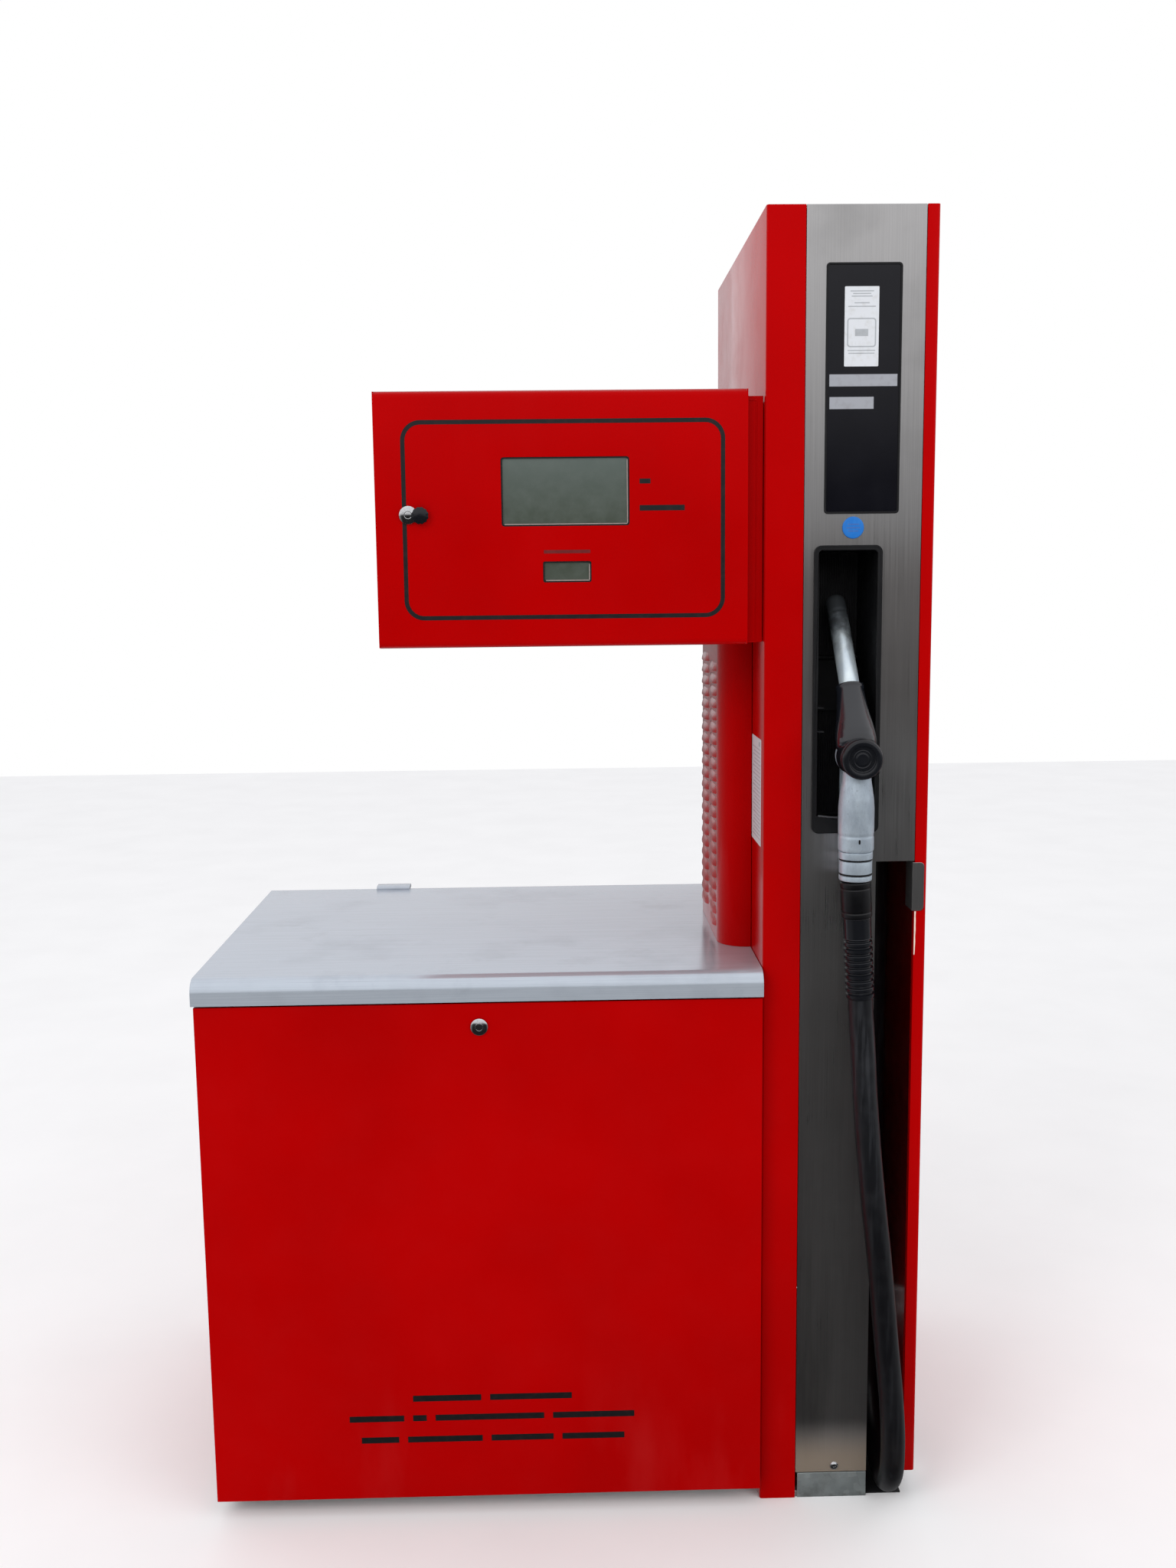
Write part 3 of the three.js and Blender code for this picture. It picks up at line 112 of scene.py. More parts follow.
def gridFaces(rows, columns, wrapRows=False, wrapColumns=True):
    # a quad between every four neighbouring grid points; a wrapped side joins last to first
    i, j = np.meshgrid(
        np.arange(rows if wrapRows else rows - 1),
        np.arange(columns if wrapColumns else columns - 1),
        indexing="ij",
    )
    down, along = (i + 1) % rows, (j + 1) % columns
    quads = [i * columns + j, i * columns + along, down * columns + along, down * columns + j]
    return np.stack(quads, -1).reshape(-1, 4).tolist()


def softCorners(points, size, steps=4, closed=False):
    # every corner gives way to a parabola between two points a set distance before and after it
    points = np.asarray(points, float)
    if closed:
        before, corner, after = np.roll(points, 1, 0), points, np.roll(points, -1, 0)
    else:
        before, corner, after = points[:-2], points[1:-1], points[2:]
    back, ahead = before - corner, after - corner
    backLength = np.linalg.norm(back, axis=1, keepdims=True)
    aheadLength = np.linalg.norm(ahead, axis=1, keepdims=True)
    start = corner + back * np.minimum(size / backLength, 0.48)
    end = corner + ahead * np.minimum(size / aheadLength, 0.48)
    t = np.linspace(0, 1, steps)[None, :, None]
    curve = (1 - t) ** 2 * start[:, None] + 2 * t * (1 - t) * corner[:, None] + t**2 * end[:, None]
    curve = curve.reshape(-1, points.shape[1])
    return curve if closed else np.vstack([points[:1], curve, points[-1:]])


def smoothPath(points, steps):
    # cubic pieces through the points over chord length, then equal steps of length
    points = np.asarray(points, float)
    chord = np.r_[0, np.cumsum(np.linalg.norm(np.diff(points, axis=0), axis=1))]
    slope = np.gradient(points, chord, axis=0)
    at = np.linspace(0, chord[-1], steps * 4)
    k = np.clip(np.searchsorted(chord, at, side="right") - 1, 0, len(chord) - 2)
    span = (chord[k + 1] - chord[k])[:, None]
    t = ((at - chord[k])[:, None]) / span
    fine = (
        (2 * t**3 - 3 * t**2 + 1) * points[k]
        + (t**3 - 2 * t**2 + t) * span * slope[k]
        + (3 * t**2 - 2 * t**3) * points[k + 1]
        + (t**3 - t**2) * span * slope[k + 1]
    )
    length = np.r_[0, np.cumsum(np.linalg.norm(np.diff(fine, axis=0), axis=1))]
    even = np.linspace(0, length[-1], steps)
    return np.stack([np.interp(even, length, fine[:, axis]) for axis in range(3)], -1)


def turned(profile, centre, axis=(0, 0, 1), sides=48):
    # (radius, height) pairs: radius times the cosine and sine of the turn, height along the axis
    profile = np.asarray(profile, float)
    axis = np.asarray(axis, float) / np.linalg.norm(axis)
    helper = np.array([1.0, 0, 0]) if abs(axis[0]) < 0.7 else np.array([0, 1.0, 0])
    side = np.cross(axis, helper)
    side /= np.linalg.norm(side)
    other = np.cross(axis, side)
    angle = np.linspace(0, 2 * math.pi, sides, endpoint=False)
    ring = np.cos(angle)[:, None] * side + np.sin(angle)[:, None] * other
    points = (
        np.asarray(centre, float)
        + profile[:, None, :1] * ring[None]
        + profile[:, None, 1:2] * axis
    )
    wrapped = bool(np.allclose(profile[0], profile[-1])) and profile[0][0] > 0
    rows = len(profile) - 1 if wrapped else len(profile)
    return points[:rows].reshape(-1, 3), gridFaces(rows, sides, wrapRows=wrapped)


def swept(path, section, scale=None, reference=(1, 0, 0), capped=True):
    # a flat section of (side, up) pairs set square to the path at every step
    path, section = np.asarray(path, float), np.asarray(section, float)
    ahead = np.gradient(path, axis=0)
    ahead /= np.linalg.norm(ahead, axis=1, keepdims=True)
    reference = np.asarray(reference, float)
    side = reference - (ahead @ reference)[:, None] * ahead
    side /= np.linalg.norm(side, axis=1, keepdims=True)
    up = np.cross(ahead, side)
    scale = np.ones(len(path)) if scale is None else np.asarray(scale, float)
    grow = scale[:, None, None] * section[None]
    points = path[:, None] + grow[..., :1] * side[:, None] + grow[..., 1:] * up[:, None]
    rows, columns = len(path), len(section)
    faces = gridFaces(rows, columns)
    if capped:
        faces.append(list(range(columns)))
        faces.append(list(range((rows - 1) * columns, rows * columns)))
    return points.reshape(-1, 3), faces


def circleLoop(radius, sides=28):
    # radius times the cosine and sine of equal turns
    angle = np.linspace(0, 2 * math.pi, sides, endpoint=False)
    return radius * np.stack([np.cos(angle), np.sin(angle)], -1)


def roundedLoop(u0, u1, v0, v1, radius, steps=7):
    # four quarter circles joined by straight sides
    turn = np.linspace(0, math.pi / 2, steps)
    corners = [
        (u1 - radius, v1 - radius, 0),
        (u0 + radius, v1 - radius, 1),
        (u0 + radius, v0 + radius, 2),
        (u1 - radius, v0 + radius, 3),
    ]
    parts = [
        np.stack(
            [
                u + radius * np.cos(turn + quarter * math.pi / 2),
                v + radius * np.sin(turn + quarter * math.pi / 2),
            ],
            -1,
        )
        for u, v, quarter in corners
    ]
    return np.vstack(parts)


def onPlane(loop, depth, axis):
    # (u, v) pairs are (x, z) across y, (y, z) across x and (x, y) across z
    loop = np.asarray(loop, float)
    level = np.full(len(loop), float(depth))
    order = {"y": (loop[:, 0], level, loop[:, 1]), "x": (level, loop[:, 0], loop[:, 1])}
    order["z"] = (loop[:, 0], loop[:, 1], level)
    return np.stack(order[axis], -1)


def plate(loop, near, far, axis="y"):
    # an outline pushed straight from one level to another, closed by two flat ends
    points = np.vstack([onPlane(loop, near, axis), onPlane(loop, far, axis)])
    count = len(loop)
    faces = gridFaces(2, count)
    return points, faces + [list(range(count)), list(range(count, 2 * count))]


def ringPlate(outer, inner, near, far):
    # two loops of equal count at two levels, joined all round
    rows = [
        onPlane(outer, near, "y"),
        onPlane(inner, near, "y"),
        onPlane(inner, far, "y"),
        onPlane(outer, far, "y"),
    ]
    return np.vstack(rows), gridFaces(4, len(outer), wrapRows=True)


def bar(u0, u1, v0, v1, near, far, axis="y"):
    return plate([(u0, v0), (u1, v0), (u1, v1), (u0, v1)], near, far, axis)


def together(*shapes):
    # the shapes' points one after another, with their faces counted on
    points, faces, start = [], [], 0
    for shapePoints, shapeFaces in shapes:
        points.append(shapePoints)
        faces += [[start + index for index in face] for face in shapeFaces]
        start += len(shapePoints)
    return np.vstack(points), faces


# pieces: a shape or a part of the model made into a finished object

pieceCount = {"made": 0, "refined": 0}


def finishMesh(mesh, material, sharp):
    mesh.shade_smooth()
    mesh.set_sharp_from_angle(angle=math.radians(sharp))
    mesh.materials.append(material)


def addPiece(name, shape, material, body, replaced=(), sharp=38, bevel=0, ride=True):
    points, faces = shape
    mesh = bpy.data.meshes.new(name)
    world = np.asarray(points) / 1000 + np.array(columnCorner)
    mesh.from_pydata(world.tolist(), [], faces)
    work = bmesh.new()
    work.from_mesh(mesh)
    bmesh.ops.remove_doubles(work, verts=work.verts, dist=3e-6)
    bmesh.ops.recalc_face_normals(work, faces=work.faces)
    work.to_mesh(mesh)
    work.free()
    finishMesh(mesh, material, sharp)
    made = bpy.data.objects.new(name, mesh)
    scene.collection.objects.link(made)
    if bevel:
        addBevel(made, bevel)
    if ride:
        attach(made, body)
    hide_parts(*replaced)
    pieceCount["made"] += 1
    return made


def addBevel(made, width, segments=2):
    bevel = made.modifiers.new("edge", "BEVEL")
    bevel.width = width / 1000
    bevel.segments = segments
    bevel.limit_method = "ANGLE"
    bevel.angle_limit = math.radians(40)
    bevel.use_clamp_overlap = False
    bevel.harden_normals = True


def refine(nodeName, material, bevel=0.5, sharp=35, segments=2):
    # the node's own surface with its vertices shared, its flat faces joined and its edges eased
    source = frame["nodes"][nodeName]
    work = bmesh.new()
    work.from_mesh(source.data)
    bmesh.ops.remove_doubles(work, verts=work.verts, dist=1e-5)
    bmesh.ops.dissolve_limit(
        work, angle_limit=math.radians(0.6), verts=work.verts, edges=work.edges
    )
    mesh = bpy.data.meshes.new(nodeName + "_fine")
    work.to_mesh(mesh)
    work.free()
    for extra in ("custom_normal", "UVMap"):
        if extra in mesh.attributes:
            mesh.attributes.remove(mesh.attributes[extra])
    mesh.materials.clear()
    finishMesh(mesh, material, sharp)
    made = bpy.data.objects.new(nodeName + "_fine", mesh)
    scene.collection.objects.link(made)
    if bevel:
        addBevel(made, bevel, segments)
    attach(made, source["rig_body"])
    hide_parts(nodeName)
    pieceCount["refined"] += 1
    return made


# materials, with patterns in metres


def newMaterial(name, values=None):
    material = bpy.data.materials.new(name)
    material.use_nodes = True
    shader = material.node_tree.nodes["Principled BSDF"]
    for key, value in (values or {}).items():
        shader.inputs[key].default_value = value
    return material, material.node_tree, shader


def addNode(tree, kind, inputs=(), **settings):
    made = tree.nodes.new("ShaderNode" + kind)
    for key, value in settings.items():
        setattr(made, key, value)
    for key, value in dict(inputs).items():
        if isinstance(value, bpy.types.NodeSocket):
            tree.links.new(value, made.inputs[key])
        else:
            made.inputs[key].default_value = value
    return made


def place(tree):
    return addNode(tree, "TexCoord").outputs["Object"]


def cloud(tree, scale, detail=4.0, stretch=(1, 1, 1), rough=0.55):
    # noise at a number of patches per metre, stretched along an axis by a small factor there
    moved = addNode(tree, "Mapping", {"Vector": place(tree), "Scale": stretch})
    settings = {"Vector": moved.outputs[0], "Scale": scale, "Detail": detail, "Roughness": rough}
    return addNode(tree, "TexNoise", settings).outputs[0]


def span(tree, value, fromLow, fromHigh, toLow=0.0, toHigh=1.0, smooth=False):
    settings = {
        "Value": value,
        "From Min": fromLow,
        "From Max": fromHigh,
        "To Min": toLow,
        "To Max": toHigh,
    }
    kind = "SMOOTHSTEP" if smooth else "LINEAR"
    return addNode(tree, "MapRange", settings, interpolation_type=kind).outputs["Result"]


def height(tree):
    return addNode(tree, "SeparateXYZ", {0: place(tree)}).outputs["Z"]


def blendColour(tree, factor, first, second):
    mixed = addNode(tree, "Mix", data_type="RGBA")
    for index, value in ((0, factor), (6, first), (7, second)):
        socket = mixed.inputs[index]
        if isinstance(value, bpy.types.NodeSocket):
            tree.links.new(value, socket)
        else:
            socket.default_value = (*value, 1) if isinstance(value, tuple) else value
    return mixed.outputs[2]


def sums(tree, how, first, second):
    return addNode(tree, "Math", {0: first, 1: second}, operation=how).outputs[0]


def plus(tree, first, second):
    return sums(tree, "ADD", first, second)


def times(tree, first, second):
    return sums(tree, "MULTIPLY", first, second)


def bumpUp(tree, shader, heightValue, strength, distance):
    values = {"Height": heightValue, "Strength": strength, "Distance": distance}
    made = addNode(tree, "Bump", values)
    tree.links.new(made.outputs[0], shader.inputs["Normal"])


def link(tree, value, shader, name):
    tree.links.new(value, shader.inputs[name])


def dress(tree, shader, colour, roughness, rise, strength, distance):
    link(tree, colour, shader, "Base Color")
    link(tree, roughness, shader, "Roughness")
    bumpUp(tree, shader, rise, strength, distance)


def surface(tree, shader, colour, gloss, grain):
    # colour, roughness that drifts between two values in patches, and a fine bump
    scale, detail, low, high = gloss
    drift = span(tree, cloud(tree, scale, detail), 0.3, 0.7, low, high)
    scale, detail, strength, distance = grain
    dress(tree, shader, colour, drift, cloud(tree, scale, detail), strength, distance)


def redEnamel():
    # deep red, a little dusty low down; its straight reflections are red, its glancing ones white
    red, deep, dust = (0.4, 0.0003, 0.0006), (0.34, 0.0002, 0.0004), (0.42, 0.02, 0.02)
    values = {"IOR": 1.5, "Specular Tint": (1.0, 0.07, 0.08, 1.0)}
    material, tree, shader = newMaterial("red_enamel", values)
    colour = blendColour(tree, span(tree, cloud(tree, 2.3, 3.0), 0.35, 0.65), red, deep)
    grime = span(tree, cloud(tree, 9, 6.0, (1, 1, 0.25)), 0.55, 0.8)
    low = span(tree, height(tree), 0.32, 0.0, 0, 0.35, True)
    specks = span(tree, cloud(tree, 160, 2.0), 0.75, 0.8, 0, 0.2)
    heavy = times(tree, low, grime)
    dusty = plus(tree, times(tree, grime, 0.03), heavy)
    dusty = plus(tree, dusty, times(tree, specks, 0.4))
    colour = blendColour(tree, dusty, colour, dust)
    surface(tree, shader, colour, (14, 5.0, 0.13, 0.23), (420, 2.0, 0.12, 0.0004))
    return material


def brushedSteel(name, grain, light, dark, shade=None, roughness=(0.26, 0.4), metallic=1.0):
    # long fine streaks along the grain, broad blotches of handling and a few scratches
    material, tree, shader = newMaterial(name, {"Metallic": metallic, "Anisotropic": 0.55})
    streaks = cloud(tree, 1.0, 3.0, grain, 0.65)
    blotch = cloud(tree, 6.0, 5.0)
    colour = blendColour(tree, span(tree, streaks, 0.3, 0.7), dark, light)
    stained = tuple(c * 0.6 for c in dark)
    colour = blendColour(tree, span(tree, blotch, 0.52, 0.75, 0, 0.35), colour, stained)
    if shade:
        colour = shade(tree, colour)
    if shade is fasciaShade:
        # less metallic towards the foot, so the tan painted there reads as a painted reflection of
        # the ground
        paintedGroundMetallic = span(tree, height(tree), 0.06, 0.14, 0.5, metallic, True)
        link(tree, paintedGroundMetallic, shader, "Metallic")
    wear = times(tree, plus(tree, streaks, blotch), 0.5)
    rough = span(tree, wear, 0.35, 0.65, *roughness)
    dress(tree, shader, colour, rough, streaks, 0.16, 0.0004)
    return material


def fasciaShade(tree, colour):
    # bright towards the top, with painted shade below: a darker band at the boot's height and a
    # darker lower part stand for the dark ground it reflects; dirty rub marks lower down, and a
    # painted tan reflection of the ground at the foot
    z = height(tree)
    # painted shade: darker from the boot down, for the dark ground reflected low down
    low = span(tree, z, 1.25, 0.6, 0, 0.3, True)
    colour = blendColour(tree, low, colour, (0.2, 0.17, 0.165))
    # painted shade: a darker band at the boot's height
    paintedShadeBand = times(tree, span(tree, z, 1.58, 1.45, 0, 0.42, True), span(tree, z, 1.2, 1.3))
    colour = blendColour(tree, paintedShadeBand, colour, (0.22, 0.185, 0.165))
    streak = span(tree, cloud(tree, 5.0, 6.0, (3, 3, 0.3)), 0.5, 0.72, 0, 0.5)
    dirty = times(tree, streak, span(tree, z, 1.0, 0.2))
    colour = blendColour(tree, dirty, colour, (0.05, 0.045, 0.04))
    # painted reflection: a tan band at the foot stands for the pale ground reflected there
    foot = span(tree, z, 0.14, 0.065, 0, 0.9, True)
    return blendColour(tree, foot, colour, (0.36, 0.29, 0.22))


def topShade(tree, colour):
    marks = span(tree, cloud(tree, 8.0, 8.0, (1, 1, 1), 0.7), 0.56, 0.75, 0, 0.35)
    return blendColour(tree, marks, colour, (0.3, 0.33, 0.37))


def zincPlate():
    material, tree, shader = newMaterial("zinc_plate", {"Metallic": 0.85})
    spangle = addNode(tree, "TexVoronoi", {"Vector": place(tree), "Scale": 95.0})
    shade = span(tree, spangle.outputs["Color"], 0.0, 1.0)
    colour = blendColour(tree, shade, (0.5, 0.56, 0.56), (0.64, 0.7, 0.69))
    stain = span(tree, cloud(tree, 30, 8.0), 0.5, 0.72)
    low = span(tree, height(tree), 0.05, 0.0, 0.1, 0.7)
    colour = blendColour(tree, times(tree, stain, low), colour, (0.1, 0.09, 0.075))
    surface(tree, shader, colour, (60, 4.0, 0.42, 0.62), (320, 3.0, 0.2, 0.0005))
    return material


def mouldedPlastic(name, colour, dustColour, roughness=(0.4, 0.58), dust=0.22, coat=0.0):
    # even colour with dust in broad patches, a fine moulded grain and pale rubbed specks
    values = {"IOR": 1.48, "Coat Weight": coat, "Coat Roughness": 0.12}
    material, tree, shader = newMaterial(name, values)
    patches = span(tree, cloud(tree, 22, 7.0), 0.48, 0.78, 0, dust)
    specks = span(tree, cloud(tree, 330, 3.0), 0.66, 0.8, 0, dust * 0.7)
    mixed = blendColour(tree, plus(tree, patches, specks), colour, dustColour)
    surface(tree, shader, mixed, (45, 5.0, *roughness), (900.0, 2.0, 0.25, 0.0003))
    return material


def castMetal(name, light, dark, metallic=0.9, roughness=(0.32, 0.52)):
    # mottled casting: bright where hands polish it, dark in small pits
    material, tree, shader = newMaterial(name, {"Metallic": metallic})
    mottle = span(tree, cloud(tree, 42, 8.0, (1, 1, 0.5), 0.65), 0.34, 0.68)
    colour = blendColour(tree, mottle, dark, light)
    pit = span(tree, cloud(tree, 260, 6.0), 0.62, 0.74, 0, 0.35)
    scratch = span(tree, cloud(tree, 1.0, 4.0, (900, 500, 90)), 0.66, 0.7, 0, 0.3)
    marks = plus(tree, pit, scratch)
    colour = blendColour(tree, marks, colour, tuple(c * 0.35 for c in dark))
    rough = span(tree, mottle, 0, 1, roughness[1], roughness[0])
    rise = sums(tree, "SUBTRACT", cloud(tree, 520, 4.0), times(tree, pit, 0.8))
    dress(tree, shader, colour, rough, rise, 0.3, 0.0006)
    return material


def hoseRubber():
    # dark blue grey with lengthways scuffs and fine cross lines, darker in the slot's shade
    # low down and muddy where it nears the ground
    material, tree, shader = newMaterial("hose_rubber", {"IOR": 1.5})
    scuff = span(tree, cloud(tree, 1.0, 6.0, (150, 150, 9)), 0.5, 0.72, 0, 0.55)
    dust = span(tree, cloud(tree, 30, 7.0), 0.45, 0.8, 0, 0.5)
    colour = blendColour(tree, dust, (0.0062, 0.0068, 0.0088), (0.019, 0.021, 0.026))
    colour = blendColour(tree, scuff, colour, (0.034, 0.037, 0.043))
    shadow = span(tree, height(tree), 0.66, 0.42, 0, 0.62, True)
    colour = blendColour(tree, shadow, colour, (0.0016, 0.0014, 0.0024))
    dirt = span(tree, height(tree), 0.2, 0.02, 0, 0.4, True)
    patch = span(tree, cloud(tree, 14, 6.0), 0.42, 0.66)
    colour = blendColour(tree, times(tree, dirt, patch), colour, (0.03, 0.022, 0.017))
    rough = span(tree, dust, 0, 0.5, 0.36, 0.56)
    cloth = addNode(tree, "TexWave", {"Vector": place(tree), "Scale": 260.0}, bands_direction="Z")
    weave = times(tree, cloth.outputs["Fac"], 0.35)
    rise = plus(tree, weave, cloud(tree, 500, 3.0))
    dress(tree, shader, colour, rough, rise, 0.18, 0.0004)
    return material


def darkGlass():
    material, tree, shader = newMaterial("dark_glass", {"IOR": 1.45})
    haze = span(tree, cloud(tree, 11, 6.0), 0.45, 0.8, 0, 0.5)
    colour = blendColour(tree, haze, (0.002, 0.002, 0.004), (0.006, 0.006, 0.009))
    smear = span(tree, cloud(tree, 25, 7.0, (1, 1, 0.3)), 0.4, 0.75, 0.05, 0.14)
    dress(tree, shader, colour, smear, cloud(tree, 60, 2.0), 0.02, 0.0003)
    return material


def displayGlass():
    # grey green liquid crystal behind clear glass, with a painted shade gradient: darker low in the
    # window, lighter towards the top
    values = {"IOR": 1.5, "Coat Weight": 0.6, "Coat Roughness": 0.03}
    material, tree, shader = newMaterial("display_glass", values)
    # painted shade: the liquid crystal's colour rises from darker below to lighter at the top
    rise = span(tree, height(tree), 1.55, 1.65, 0, 1)
    colour = blendColour(tree, rise, (0.05, 0.061, 0.046), (0.083, 0.104, 0.093))
    mottle = span(tree, cloud(tree, 60, 5.0), 0.35, 0.75, 0, 0.3)
    colour = blendColour(tree, mottle, colour, (0.11, 0.13, 0.115))
    surface(tree, shader, colour, (30, 5.0, 0.12, 0.24), (1500, 1.0, 0.04, 0.0002))
    return material


def chrome():
    material, tree, shader = newMaterial("lock_chrome", {"Metallic": 1.0})
    age = span(tree, cloud(tree, 300, 6.0), 0.5, 0.75, 0, 0.5)
    colour = blendColour(tree, age, (0.72, 0.73, 0.74), (0.35, 0.34, 0.33))
    rough = span(tree, age, 0, 0.5, 0.1, 0.3)
    dress(tree, shader, colour, rough, cloud(tree, 700, 3.0), 0.06, 0.0003)
    return material


def printedFilm(name, colour, worn):
    material, tree, shader = newMaterial(name)
    age = span(tree, cloud(tree, 120, 7.0), 0.5, 0.78, 0, 0.6)
    mixed = blendColour(tree, age, colour, worn)
    surface(tree, shader, mixed, (70, 4.0, 0.3, 0.45), (900, 2.0, 0.05, 0.0002))
    return material


def spoutMetal():
    # blackened at the tip, bright below it where it rubs the tank neck
    material, tree, shader = newMaterial("spout_metal", {"Metallic": 0.6})
    z = height(tree)
    mottle = span(tree, cloud(tree, 60, 7.0, (1, 1, 0.35)), 0.32, 0.7)
    colour = blendColour(tree, mottle, (0.66, 0.76, 0.84), (0.88, 0.98, 1.0))
    edge = plus(tree, z, span(tree, cloud(tree, 45, 5.0), 0.3, 0.7, -0.02, 0.02))
    soot = span(tree, edge, 1.36, 1.42, 0, 0.92, True)
    colour = blendColour(tree, soot, colour, (0.075, 0.082, 0.09))
    rough = span(tree, edge, 1.38, 1.41, 0.34, 0.6)
    dress(tree, shader, colour, rough, cloud(tree, 420, 5.0), 0.25, 0.0005)
    return material


red = redEnamel()
lightSteel, darkSteel = (0.7, 0.69, 0.68), (0.6, 0.59, 0.58)
fasciaSteel = brushedSteel(
    "stainless_upright", (700, 700, 5), lightSteel, darkSteel, fasciaShade, metallic=0.965
)
lightSteel, darkSteel = (0.55, 0.61, 0.68), (0.47, 0.52, 0.58)
topSteel = brushedSteel(
    "stainless_top", (5, 700, 700), lightSteel, darkSteel, topShade, (0.11, 0.2), 0.45
)
zinc = zincPlate()
# the black mouldings: colour, dust colour, roughness from and to, share of dust, clear coat
mouldings = {
    "black_paint": ((0.008, 0.008, 0.009), (0.03, 0.028, 0.026), (0.55, 0.75), 0.22, 0.0),
    "black_plastic": ((0.0042, 0.0042, 0.0052), (0.03, 0.03, 0.031), (0.4, 0.58), 0.14, 0.0),
    "cover_rubber": ((0.006, 0.0067, 0.0088), (0.03, 0.033, 0.04), (0.14, 0.26), 0.14, 0.0),
    "cone_rubber": ((0.007, 0.0082, 0.0115), (0.03, 0.034, 0.044), (0.16, 0.28), 0.14, 0.75),
    "sleeve_rubber": ((0.0022, 0.0022, 0.003), (0.012, 0.012, 0.014), (0.3, 0.44), 0.16, 0.0),
}
blackPaint, blackPlastic, coverRubber, coneRubber, sleeveRubber = (
    mouldedPlastic(name, *values) for name, values in mouldings.items()
)
aluminium = castMetal("cast_aluminium", (0.64, 0.74, 0.82), (0.42, 0.49, 0.56), 0.66)
spoutFinish = spoutMetal()
hoseSkin = hoseRubber()
glassBlack = darkGlass()
glassDisplay = displayGlass()
lockChrome = chrome()
blueEnamel = printedFilm("blue_enamel", (0.002, 0.135, 0.48), (0.02, 0.2, 0.56))
blackFilm = printedFilm("black_film", (0.008, 0.008, 0.009), (0.03, 0.012, 0.012))
whiteFilm = printedFilm("white_film", (0.6, 0.62, 0.65), (0.48, 0.48, 0.47))
paleFilm = printedFilm("pale_film", (0.3, 0.31, 0.34), (0.22, 0.22, 0.23))
greyFilm = printedFilm("grey_film", (0.36, 0.38, 0.4), (0.28, 0.29, 0.3))
machineGrey = castMetal("machine_grey", (0.2, 0.22, 0.23), (0.13, 0.145, 0.155), 0.15, (0.5, 0.68))
boxPlastic = mouldedPlastic("box_plastic", (0.44, 0.45, 0.44), (0.3, 0.29, 0.27), (0.45, 0.6))
castIron = castMetal("cast_iron", (0.1, 0.105, 0.11), (0.05, 0.052, 0.056), 0.4, (0.55, 0.75))
print("materials ready")

# the hose: its route in metres, its section in millimetres

hose = {"radius": 19.0, "sides": 28, "steps": 440, "startInside": 24.0}
hoseRoute = [
    (0.1412, -0.0450, 0.8448),
    (0.1423, -0.0450, 0.8248),
    (0.1451, -0.0460, 0.7840),
    (0.1504, -0.0470, 0.6921),
    (0.1579, -0.0480, 0.5981),
    (0.1670, -0.0485, 0.5098),
    (0.1760, -0.0490, 0.4299),
    (0.1833, -0.0495, 0.3543),
    (0.1902, -0.0498, 0.2808),
    (0.1985, -0.0490, 0.1988),
    (0.2030, -0.0478, 0.1250),
    (0.2037, -0.0395, 0.0700),
    (0.2052, -0.0060, 0.0330),
    (0.2080, 0.0620, 0.0238),
    (0.2105, 0.1270, 0.0388),
    (0.2123, 0.1695, 0.0808),
    (0.2130, 0.1850, 0.1380),
    (0.2130, 0.1850, 0.2602),
    (0.2130, 0.1850, 0.5196),
    (0.2130, 0.1850, 0.8500),
    (0.2130, 0.1850, 1.2002),
    (0.2130, 0.1850, 1.5604),
    (0.2130, 0.1850, 1.7206),
    (0.2130, 0.1850, 1.7900),
    (0.2130, 0.2051, 1.8650),
    (0.2130, 0.2600, 1.9199),
    (0.2130, 0.3350, 1.9400),
    (0.2130, 0.4100, 1.9199),
    (0.2130, 0.4649, 1.8650),
    (0.2130, 0.4850, 1.7900),
    (0.2130, 0.4850, 1.7200),
    (0.2130, 0.4850, 1.5600),
    (0.2130, 0.4850, 1.4000),
]
lean = 0.05519
leanAxis = np.array([math.sin(lean), 0, -math.cos(lean)])


def makeHose():
    # a round section carried along the route, a hair thicker and thinner in long slow waves
    route = np.array(hoseRoute) * 1000
    route = np.vstack([route[0] - hose["startInside"] * leanAxis, route])
    path = smoothPath(route, hose["steps"])
    wave = 1 - 0.004 * (1 + np.sin(np.linspace(0, 46, hose["steps"])))
    shape = swept(path, circleLoop(hose["radius"], hose["sides"]), wave)
    tube = addPiece("delivery_hose", shape, hoseSkin, None, ["fuel_hose"], ride=False)
    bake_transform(tube)


makeHose()

# the column

for nodeName in ("column_left_panel", "column_right_panel", "column_cap"):
    refine(nodeName, red, 0.6)
refine("column_fascia", fasciaSteel, 0.45)
refine("column_rear_panel", fasciaSteel, 0.45)
refine("column_base", zinc, 0.7)
refine("hose_channel_partition", blackPaint, 0.4)


def gradePanel():
    # dark glass plate with an eased edge in a thin black seal
    settings = {"x": (88.3, 195.3), "z": (1566, 1918), "face": 0.9, "back": 4.9, "radius": 3.7}
    loop = roundedLoop(*settings["x"], *settings["z"], settings["radius"])
    glass = plate(loop, settings["face"], settings["back"])
    addPiece("grade_glass", glass, glassBlack, "housing", ["grade_panel"], bevel=0.5)
    outer = roundedLoop(86.6, 197.0, 1564.3, 1919.7, 5.4)
    inner = roundedLoop(89.6, 194.0, 1567.3, 1916.7, 3.0)
    seal = ringPlate(outer, inner, -0.4, 1.2)
    addPiece("grade_glass_seal", seal, blackPlastic, "housing", bevel=0.35)


gradePanel()


label = {"face": 0.62, "middle": 138.5, "proud": 0.12}


